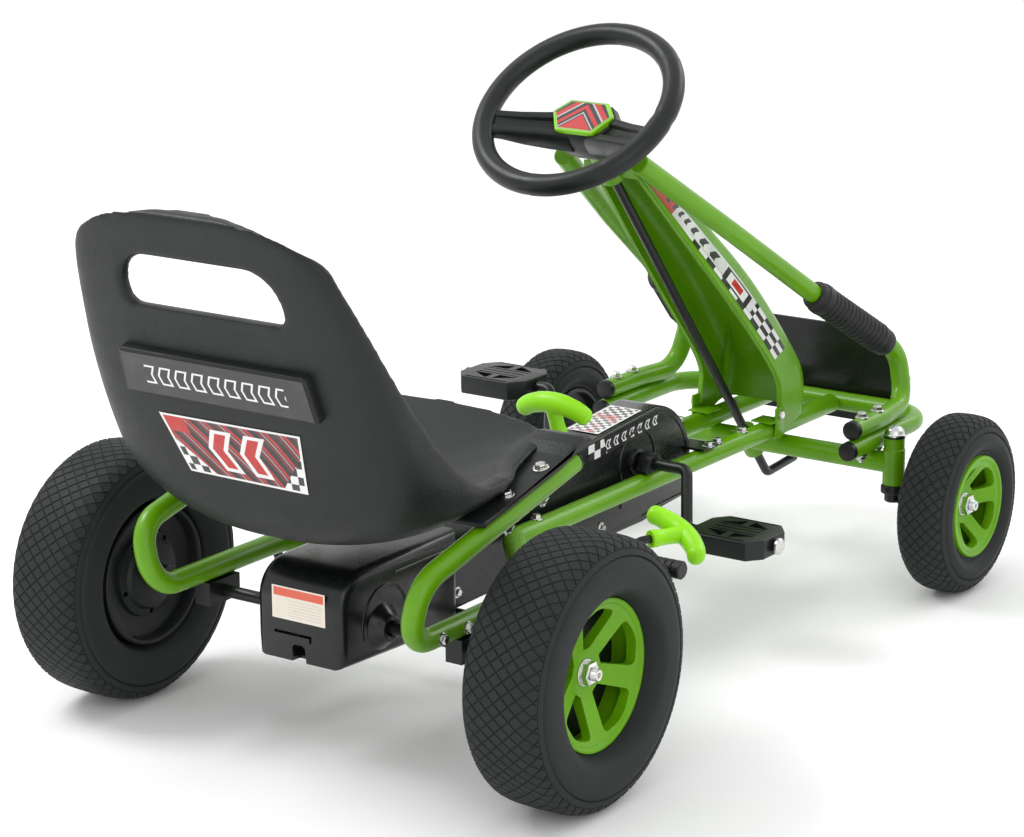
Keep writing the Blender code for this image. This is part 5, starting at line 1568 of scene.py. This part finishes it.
def build_tower_flanges(edges):
    """Rolled strips along the rear edges. The lowest rows have none."""
    rolled = []
    for side in (1, -1):
        strip = []
        for point in edges[side][4:]:
            inward = Vector((-side * 0.0052, 0, 0))
            back = Vector((0, -0.0006, -0.0006))
            strip.append([point + back, point + back + inward, point - back * 1.5 + inward,
                          point - back * 1.5])
        rolled.append(loft(strip))
    flanges = add_piece("tower_flanges", merged(rolled), "paint", "frame", ["steering_tower"])
    soften(flanges, 0.0004)


def build_tower_web():
    """Arched plate across the inside of the tower's foot."""
    web = []
    for step in range(WEB_STEPS + 1):
        angle = math.pi * step / WEB_STEPS
        x = 0.0420 * math.cos(angle)
        z = 0.170 + 0.120 * math.sin(angle) ** 0.8
        web.append((x, z))
    inner = [(x * 0.86, 0.170 + (z - 0.170) * 0.93) for x, z in web]
    rings = []
    for (x, z), (inner_x, inner_z) in zip(web, inner):
        y = 0.748 - 0.62 * max(0.0, z - 0.235)
        rings.append([at(x, y, z), at(inner_x, y, inner_z), at(inner_x, y - 0.0016, inner_z),
                      at(x, y - 0.0016, z)])
    add_piece("tower_web", loft(rings), "paint", "frame", ["steering_tower"])


def build_tower_prints():
    """Long sticker on each side of the tower."""
    look = tower_sticker()
    for side in (1, -1):
        rows = [row for row in curve_rows(TOWER_SECTIONS, TOWER_STEPS) if 0.222 < row[1] < 0.462][::-1]
        points = []
        for section in rows:
            for blend in (0.60, 0.46, 0.30, 0.14):
                points.append(between_edges(section, side * (section[4] + 0.0014), blend))
        faces = []
        uvs = []
        for row in range(len(rows) - 1):
            for column in range(3):
                a = row * 4 + column
                faces.append((a, a + 1, a + 5, a + 4))
                for du, dv in ((0, 0), (0, 1), (1, 1), (1, 0)):
                    uvs.append(((row + du) / (len(rows) - 1), 1 - (column + dv) / 3))
        add_piece(side_name("tower_print", side), (points, faces), look, "frame", uvs=uvs, sharp=None)


def build_tower_feet():
    """Tabs that fix the tower to the rails."""
    tabs = []
    for side in (1, -1):
        tabs.append(block((side * 0.0530 - 0.0012, 0.700, 0.1425), (side * 0.0530 + 0.0012, 0.716, 0.1760)))
        tabs.append(block((side * 0.0400 - 0.0125, 0.690, 0.1604), (side * 0.0400 + 0.0135, 0.716, 0.1622)))
    feet = add_piece("tower_feet", merged(tabs), "paint", "frame")
    soften(feet, 0.0005)


def build_head_bush():
    """Bush at the column's upper end, its welded ears and a pale collar."""
    start, end = 0.0625, 0.1025
    half = (end - start) / 2
    profile = [(0.0056, half), (0.0118, half), (0.0125, half - 0.0008), (0.0125, 0.0006 - half),
               (0.0119, -half), (0.0056, -half)]
    up = on_column(0.0) - on_column(1.0)
    turned("head_bush_tube", profile, on_column((start + end) / 2), up, "paint", "frame", ["head_bush"], 48)
    ears = []
    for side in (1, -1):
        rings = []
        for distance in (0.0800, 0.1000):
            centre = on_column(distance)
            width = 0.0262 + (distance - 0.080) * 0.30
            out = Vector((side, 0, 0))
            forward = on_column(0, 1) - on_column(0)
            rings.append([centre + out * 0.0105 - forward * 0.0010, centre + out * width - forward * 0.0010,
                          centre + out * width + forward * 0.0010, centre + out * 0.0105 + forward * 0.0010])
        ears.append(loft(rings))
    add_piece("head_bush_ears", merged(ears), "paint", "frame")
    cap = [(0.0056, 0.0), (0.0132, 0.0), (0.0134, 0.0016), (0.0120, 0.0026), (0.0056, 0.0026)]
    turned("head_bush_collar", cap, on_column(start - 0.0002), up, "washer", "frame", (), 40)


def build_nose_panel():
    """Shield-shaped panel on the hoop, with a raised line inside its edge."""
    outline = [(-0.062, 0.127), (0.062, 0.127), (0.088, 0.142), (0.112, 0.160), (0.128, 0.182),
               (0.112, 0.214), (0.070, 0.236), (-0.070, 0.236), (-0.112, 0.214), (-0.128, 0.182),
               (-0.112, 0.160), (-0.088, 0.142)]
    y = HOOP_FRONT_Y + TUBE_RADIUS + 0.0020
    plate("nose_panel_shield", [rounded_polygon(outline, 0.010, 4)], 0.0030, (0, y, 0), "casing", "frame",
          ["nose_panel"], "XZ", 0.0010)
    rim = [at(x, y + 0.0012, z) for x, z in
           rounded_polygon([(x * 0.90, 0.181 + (z - 0.181) * 0.86) for x, z in outline], 0.010, 4)]
    add_piece("nose_panel_rib", sweep(rim, 0.0013, 10, closed=True), "casing", "frame", ["nose_panel"])


def build_frame_bolts():
    """Dome bolts of the hoop, the rails, the legs, the tower, the nose panel and the casings."""
    hoop_top = NOSE_LEG_Z + TUBE_RADIUS - 0.0006
    hoop_under = HOOP_Z - TUBE_RADIUS + 0.0006
    rail_top = CENTRE_RAIL_Z + TUBE_RADIUS - 0.0004
    leg_out = LEG_X + TUBE_RADIUS - 0.0005
    guard_out = GUARD_HALF - 0.0002
    up, down, forward = (0, 0, 1), (0, 0, -1), (0, 1, 0)
    places = []
    for side in (1, -1):
        outward = (side, 0, 0)
        for y in (0.704, 0.738):
            places.append(((side * HOOP_X, y, hoop_top), up, 0.0095, 0.0060, 0.0070))
            places.append(((side * HOOP_X, y, hoop_under), down, 0.0095, 0.0055, 0.0070, 0.003))
        for y in (0.262, 0.600, 0.652):
            places.append(((side * CENTRE_RAIL_X, y, rail_top), up, 0.0080, 0.0050, 0.0062))
        for y in (-0.052, -0.014, 0.014, 0.062):
            places.append(((side * leg_out, y, LEG_Z), outward, 0.0080, 0.0050, 0.0060))
        places.append(((side * 0.047, 0.571, 0.1631), up, 0.0080, 0.0050, 0.0065))
        places.append(((side * 0.0530, 0.708, 0.1680), outward, 0.0075, 0.0050, 0.0060))
        places.append(((side * 0.060, 0.8705, 0.200), forward, 0.0080, 0.0042, 0.0065))
        for x, y, z in ((CASE_HALF - 0.0002, 0.0980, 0.1600), (guard_out, 0.1500, 0.1120),
                        (guard_out, 0.4000, 0.1130)):
            places.append(((side * x, y, z), outward, 0.0070, 0.0042, 0.0058))
    add_bolts("frame_bolts", "frame", places)


# ---------------------------------------------------------------- steering
def steering_space():
    """Matrix of the wheel's own frame: +Z to the driver, +Y forward and up."""
    return Matrix.Translation(at(*WHEEL_CENTRE)) @ Matrix.Rotation(COLUMN_TILT, 4, "X")


def spoke_rings(side):
    """Cross-sections of one spoke from the hub to the ring, in the wheel's own frame."""
    droop = math.radians(-18) if side > 0 else math.pi + math.radians(18)
    direction = Vector((math.cos(droop), math.sin(droop), 0))
    across = Vector((-direction.y, direction.x, 0))
    rings = []
    for share, half, top, bottom in ((0.016, 0.0200, -0.0180, -0.0440), (0.040, 0.0175, -0.0120, -0.0370),
                                     (0.065, 0.0160, -0.0050, -0.0260), (0.084, 0.0155, 0.0010, -0.0140),
                                     (0.097, 0.0165, 0.0046, -0.0068)):
        middle = direction * share
        ring = []
        for side_share, height in ((-1.0, -0.62), (-0.80, -1.0), (0.80, -1.0), (1.0, -0.62), (1.0, 0.55),
                                   (0.82, 1.0), (0.40, 1.0), (0.32, 0.60), (-0.32, 0.60), (-0.40, 1.0),
                                   (-0.82, 1.0), (-1.0, 0.55)):
            z = (top + bottom) / 2 + height * (top - bottom) / 2
            ring.append(middle + across * half * side_share + Vector((0, 0, z)))
        rings.append(ring)
    return rings


BADGE_OUTLINE = ((-0.036, 0.003), (-0.022, -0.020), (0.022, -0.020), (0.036, 0.003), (0.022, 0.020),
                 (-0.022, 0.020))


def build_steering_wheel():
    """Ring with faint panel lines, two grooved spokes and a faceted hub shroud."""
    space = steering_space()
    ring = []
    steps = 144
    for step in range(steps):
        angle = 2 * math.pi * step / steps
        ring.append(Vector((0.1004 * math.cos(angle), 0.1004 * math.sin(angle), 0)))

    def grip(share, _angle):
        turns = share * 8
        seam = abs(turns - round(turns)) * 2 * math.pi * 0.0996 / 8
        return 0.0110 - 0.0006 * math.exp(-(seam / 0.0011) ** 2)

    parts = [sweep(ring, grip, 28, closed=True)]
    for side in (1, -1):
        parts.append(loft(spoke_rings(side)))
    hub = []
    for scale, height in ((0.96, -0.0160), (1.06, -0.0180), (1.14, -0.0270), (1.10, -0.0400),
                          (0.92, -0.0520), (0.70, -0.0600)):
        hub.append([Vector((x * scale, y * scale, height))
                    for x, y in BADGE_OUTLINE])
    parts.append(loft(hub))
    parts = [moved(part, space) for part in parts]
    wheel = add_piece("steering_ring", merged(parts), "plastic", "steering", ["steering_wheel"], sharp=32)
    soften(wheel, 0.0009, 40)
    place = space @ Matrix.Translation((0, 0, -0.0145))
    mesh = plate_mesh([rounded_polygon(BADGE_OUTLINE, 0.0018, 3)], 0.0066, 0.0012, place)
    add_mesh_piece("steering_badge", mesh, "handle", "steering", ["hub_badge"])
    inner = [(x * 0.93, y * 0.91) for x, y in BADGE_OUTLINE]
    rim = [space @ Vector((x, y, -0.0111)) for x, y in inner]
    add_piece("steering_badge_line", sweep(rim, 0.0005, 8, closed=True), "washer", "steering", ["hub_badge"])
    corners = [(x * 0.88, y * 0.85) for x, y in BADGE_OUTLINE]
    vertices = [space @ Vector((x, y, -0.01095)) for x, y in corners]
    uvs = [(x / 0.064 + 0.5, y / 0.034 + 0.5) for x, y in corners]
    add_piece("steering_badge_print", (vertices, [tuple(range(6))]), badge_print(), "steering", uvs=uvs,
              sharp=None)


def build_column():
    """Column rod with its cranked foot and the pin for the tie rods."""
    pin = on_column(0.6353, 0.0497)
    low = on_column(0.600)
    path = rounded_path([on_column(0.052), low, pin], 0.012)
    parts = [bar(path, 0.005, 24)]
    top = Vector((pin.x, pin.y - 0.0005, 0.106))
    parts.append(bar([Vector((pin.x, pin.y - 0.0005, pin.z - 0.002)), top], 0.003, 20, 0.0005))
    add_piece("steering_rod", merged(parts), "steel", "steering", ["steering_column"])


def build_knuckles():
    """Kingpin post, stub axle, steering arm and stud on each side."""
    for side in (1, -1):
        x = side * KINGPIN_X
        body = side_name("knuckle", side)
        centre = at(x, WHEELBASE, 0)
        flange = [(0.0, 0.0850), (0.0082, 0.0850), (0.0095, 0.0864), (0.0095, 0.0940), (0.0128, 0.0948),
                  (0.0136, 0.0958), (0.0136, 0.1020), (0.0126, 0.1035),
                  (0.0060, 0.1035), (0.0060, 0.1565), (0.0, 0.1565)]
        parts = [lathe(flange, centre, (0, 0, 1), 40)]
        height = FRONT_WHEEL["radius"]
        stub_end = side * (FRONT_WHEEL["outer_x"] - FRONT_WHEEL["recess"] - 0.0005)
        shoulder = side * (FRONT_WHEEL["outer_x"] - FRONT_WHEEL["width"] - 0.0006)
        collar_start = side * (KINGPIN_X + 0.010)
        parts.append(rod((x, WHEELBASE, height), (stub_end, WHEELBASE, height), AXLE_RADIUS, 32))
        parts.append(rod((collar_start, WHEELBASE, height), (shoulder, WHEELBASE, height), 0.0095, 32))
        add_piece(side_name("knuckle_post", side), merged(parts), "steel", body,
                  [side_name("steering_knuckle", side)])
        arm_y = WHEELBASE + 0.0497
        outline = [(x - 0.0065, WHEELBASE), (x + 0.0065, WHEELBASE), (x + 0.0065, arm_y + 0.002),
                   (x + 0.0045, arm_y + 0.006), (x - 0.0045, arm_y + 0.006), (x - 0.0065, arm_y + 0.002)]
        plate(side_name("knuckle_arm", side), [outline], 0.0046, (0, 0, 0.0855), "steel", body,
              [side_name("steering_knuckle", side)], "XY", 0.0006)
        stud = rod((x, arm_y, 0.0850), (x, arm_y, 0.1045), 0.0030, 20)
        add_piece(side_name("knuckle_stud", side), stud, "zinc", body, [side_name("steering_knuckle", side)])


# ---------------------------------------------------------------- drive and levers
def crank_pin(side):
    return (side * PEDAL_X, CRANK_Y + side * CRANK_THROW * math.cos(CRANK_ANGLE),
            CRANK_Z + side * CRANK_THROW * math.sin(CRANK_ANGLE))


def build_crank():
    """One bent bar with a throw for each pedal."""
    corners = []
    for side in (1, -1):
        _, pin_y, pin_z = crank_pin(side)
        half = [(side * 0.2115, pin_y, pin_z), (side * 0.105, pin_y, pin_z), (side * 0.085, CRANK_Y, CRANK_Z)]
        corners += half if side > 0 else half[::-1]
    tube("crank_rod", corners, AXLE_RADIUS, "steel", "crank", ["crank"], 0.010)


def build_crank_saddles():
    """Cast saddles that hold the crank on the centre rails."""
    for side in (1, -1):
        foot = CENTRE_RAIL_Z + TUBE_RADIUS + 0.0003
        outline = [(CRANK_Y - 0.017, foot), (CRANK_Y + 0.017, foot), (CRANK_Y + 0.017, foot + 0.0030)]
        outline += arc((CRANK_Y, CRANK_Z), 0.0118, 10, 170, 14)
        outline += [(CRANK_Y - 0.017, foot + 0.0030)]
        node = side_name("crank_bearing", side)
        plate(node + "_saddle", [outline, circle(AXLE_BORE, (CRANK_Y, CRANK_Z))], 0.0150,
              (side * CENTRE_RAIL_X, 0, 0), "steel", "frame", [node], "YZ", 0.0008)


def build_pedals():
    """Pierced and grooved pedal blocks, with a cap on the end of each pin."""
    for side in (1, -1):
        x, y, z = crank_pin(side)
        body = side_name("pedal", side)
        outline = [(-0.0425, -0.020), (-0.030, -0.036), (0.030, -0.036), (0.0425, -0.020), (0.0425, 0.020),
                   (0.030, 0.036), (-0.030, 0.036), (-0.0425, 0.020)]
        piece = plate(side_name("pedal_block", side), [rounded_polygon(outline, 0.002, 3)], 0.020, (x, y, z),
                      "plastic", body, [body], "XY", 0.0016)
        cutters = []
        for column in (-1, 1):
            for row in (-1, 1):
                window = [(column * 0.004, row * 0.013), (column * 0.029, row * 0.013),
                          (column * 0.004, row * 0.029)]
                window = rounded_polygon(window, 0.0015, 3)
                cutters.append(loft([[at(x + u, y + v, z - 0.02) for u, v in window],
                                     [at(x + u, y + v, z + 0.02) for u, v in window]]))
        for level in (-1, 1):
            for strip in (-0.0330, -0.0085, 0.0, 0.0085, 0.0330):
                low = (x - 0.026, y + strip - 0.0012, z + level * 0.0100 - 0.0012)
                high = (x + 0.026, y + strip + 0.0012, z + level * 0.0100 + 0.0012)
                cutters.append(block(low, high))
        cutters.append(rod((x - 0.06, y, z), (x + 0.06, y, z), AXLE_BORE, 32))
        carve(piece, cutters, sharp=35)
        cap = [(0.0, 0.0), (0.0085, 0.0), (0.0085, 0.0020), (0.0070, 0.0034), (0.0, 0.0038)]
        end = at(side * 0.2118, y, z)
        turned(side_name("pedal_cap", side), cap, end, (side, 0, 0), "zinc", "crank", (), 32)


LEVER_RADIUS = 0.0040
HANDLE_BORE = LEVER_RADIUS + 0.0003
HANDLE_LENGTH = 0.088
HANDLE_END = 0.0075


def t_handle(name, centre, crossbar, stem, body, node):
    """T grip: drooping crossbar with rounded ends on a short ribbed socket."""
    centre = at(*centre)
    crossbar = Vector(crossbar).normalized()
    stem = Vector(stem).normalized()
    controls = [(-0.0415, 0.0125), (-0.0300, 0.0030), (-0.0120, -0.0022), (0.0, -0.0030),
                (0.0120, -0.0022), (0.0300, 0.0030), (0.0415, 0.0125)]
    corners = [centre + crossbar * along - stem * drop for along, drop in controls]
    path = dense(rounded_path(corners, 0.03), 0.0015)

    def section(share, angle):
        end = min(share, 1 - share) * HANDLE_LENGTH
        rounding = math.sqrt(max(0.0, 1 - max(0.0, 1 - end / HANDLE_END) ** 2))
        radius = 0.0090 + 0.0013 * math.sin(math.pi * share) ** 2
        return max(0.0004, radius * rounding) * (1.0 + 0.04 * math.cos(2 * angle))

    parts = [sweep(path, section, 28)]
    socket = [(HANDLE_BORE, -0.0360), (0.0080, -0.0360), (0.0086, -0.0350), (0.0086, -0.0290),
              (0.0080, -0.0280), (0.0076, -0.0180), (0.0082, -0.0060), (0.0100, -0.0010),
              (0.0100, 0.0040), (HANDLE_BORE, 0.0040)]
    parts.append(lathe(socket, centre, stem, 40))
    add_piece(name, merged(parts), "handle", body, [node], sharp=40)


PAD_Y = 0.130
PAD_Z = 0.187
PAD_INNER_X = 0.2225
PAD_OUTER_X = 0.2905


def build_levers():
    """Gear lever through the guard, and the brake bar bent in one piece with its side lever."""
    pivot = Vector((0.009, 0.372, 0.150))
    handle = Vector((0.009, 0.336, 0.254))
    stem = (handle - pivot).normalized()
    parts = [rod(pivot - stem * 0.006, handle - stem * 0.0130, LEVER_RADIUS),
             rod((0.004, 0.372, 0.150), (0.0240, 0.372, 0.150), 0.0030, 20)]
    add_piece("gear_rod", merged(parts), "steel", "gear_lever", ["gear_lever"])
    t_handle("gear_grip", handle, (1, 0, 0), stem, "gear_lever", "gear_handle")

    shaft_y, shaft_z = 0.172, 0.082
    corners = []
    for side in (-1, 1):
        half = [(side * 0.2865, PAD_Y, PAD_Z), (side * 0.205, PAD_Y, PAD_Z), (side * 0.205, shaft_y, shaft_z)]
        corners += half if side < 0 else half[::-1]
    parts = [bar(rounded_path([at(*corner) for corner in corners], 0.010), 0.005, 24)]
    centre = Vector((0.207, 0.2620, 0.173))
    stem = Vector((0.40, 0.91, -0.03)).normalized()
    lever = [Vector((0.165, shaft_y, shaft_z)), Vector((0.171, 0.200, 0.154)), centre - stem * 0.048,
             centre - stem * 0.0130]
    parts.append(bar(rounded_path([at(*corner) for corner in lever], 0.012), LEVER_RADIUS, 24))
    add_piece("brake_rod", merged(parts), "steel", "brake", ["brake_bar"])
    t_handle("brake_grip", centre, (0.87, -0.36, -0.32), stem, "brake", "brake_handle")


def build_brake_pads():
    """Ribbed rubber rollers on the ends of the brake bar."""
    for side in (1, -1):
        half = (PAD_OUTER_X - PAD_INNER_X) / 2
        middle = side * (PAD_OUTER_X + PAD_INNER_X) / 2
        profile = [(0.0, half), (0.0072, half), (0.0085, half - 0.0012)]
        ribs = 9
        span = 2 * half - 0.006
        for rib in range(ribs):
            low = half - 0.003 - span * rib / ribs
            pitch = span / ribs
            profile += [(0.0085, low), (0.0085, low - pitch * 0.62), (0.0072, low - pitch * 0.72),
                        (0.0072, low - pitch * 0.92)]
        profile += [(0.0085, 0.002 - half), (0.0076, -half), (0.0053, -half), (0.0053, half - 0.0035),
                    (0.0, half - 0.0035)]
        node = side_name("brake_pad", side)
        turned(node + "_roller", profile, at(middle, PAD_Y, PAD_Z), (side, 0, 0), "grip", "brake", [node], 40)


def build_rear_axle():
    """Axle rod with a collar inside each wheel."""
    height = REAR_WHEEL["radius"]
    reach = REAR_WHEEL["outer_x"] - REAR_WHEEL["recess"] - 0.0005
    parts = [rod((-reach, 0, height), (reach, 0, height), AXLE_RADIUS, 32)]
    for side in (1, -1):
        inner = side * (REAR_WHEEL["outer_x"] - REAR_WHEEL["width"] - 0.0022)
        profile = [(AXLE_RADIUS - 0.001, 0.0), (0.0110, 0.0), (0.0118, 0.0010), (0.0118, 0.0090),
                   (0.0110, 0.0100), (AXLE_RADIUS - 0.001, 0.0100)]
        parts.append(lathe(profile, at(inner, 0, height), (-side, 0, 0), 40))
    add_piece("rear_axle_rod", merged(parts), "steel", "rear_axle", ["rear_axle"])


def dress_cad_nodes():
    """Procedural materials for the CAD nodes that stay in view."""
    looks = {"drive_chain": "steel", "rear_sprocket": "steel", "chainring": "steel"}
    for side in (1, -1):
        for stem in ("axle_bearing", "brake_hanger", "tie_rod"):
            looks[side_name(stem, side)] = "steel"
    for node, look in looks.items():
        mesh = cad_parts[node].data
        mesh.materials.clear()
        mesh.materials.append(MATERIALS[look])


# ---------------------------------------------------------------- assembly
build_camera()
build_studio()
build_wheels()
seat_back = build_seat()
build_seat_bar(seat_back)
build_seat_flanges()
build_chain_case()
build_chain_guard()
build_frame_tubes()
build_grips()
build_front_beam()
build_tower()
build_head_bush()
build_nose_panel()
build_frame_bolts()
build_steering_wheel()
build_column()
build_knuckles()
build_crank()
build_crank_saddles()
build_pedals()
build_levers()
build_brake_pads()
build_rear_axle()
dress_cad_nodes()
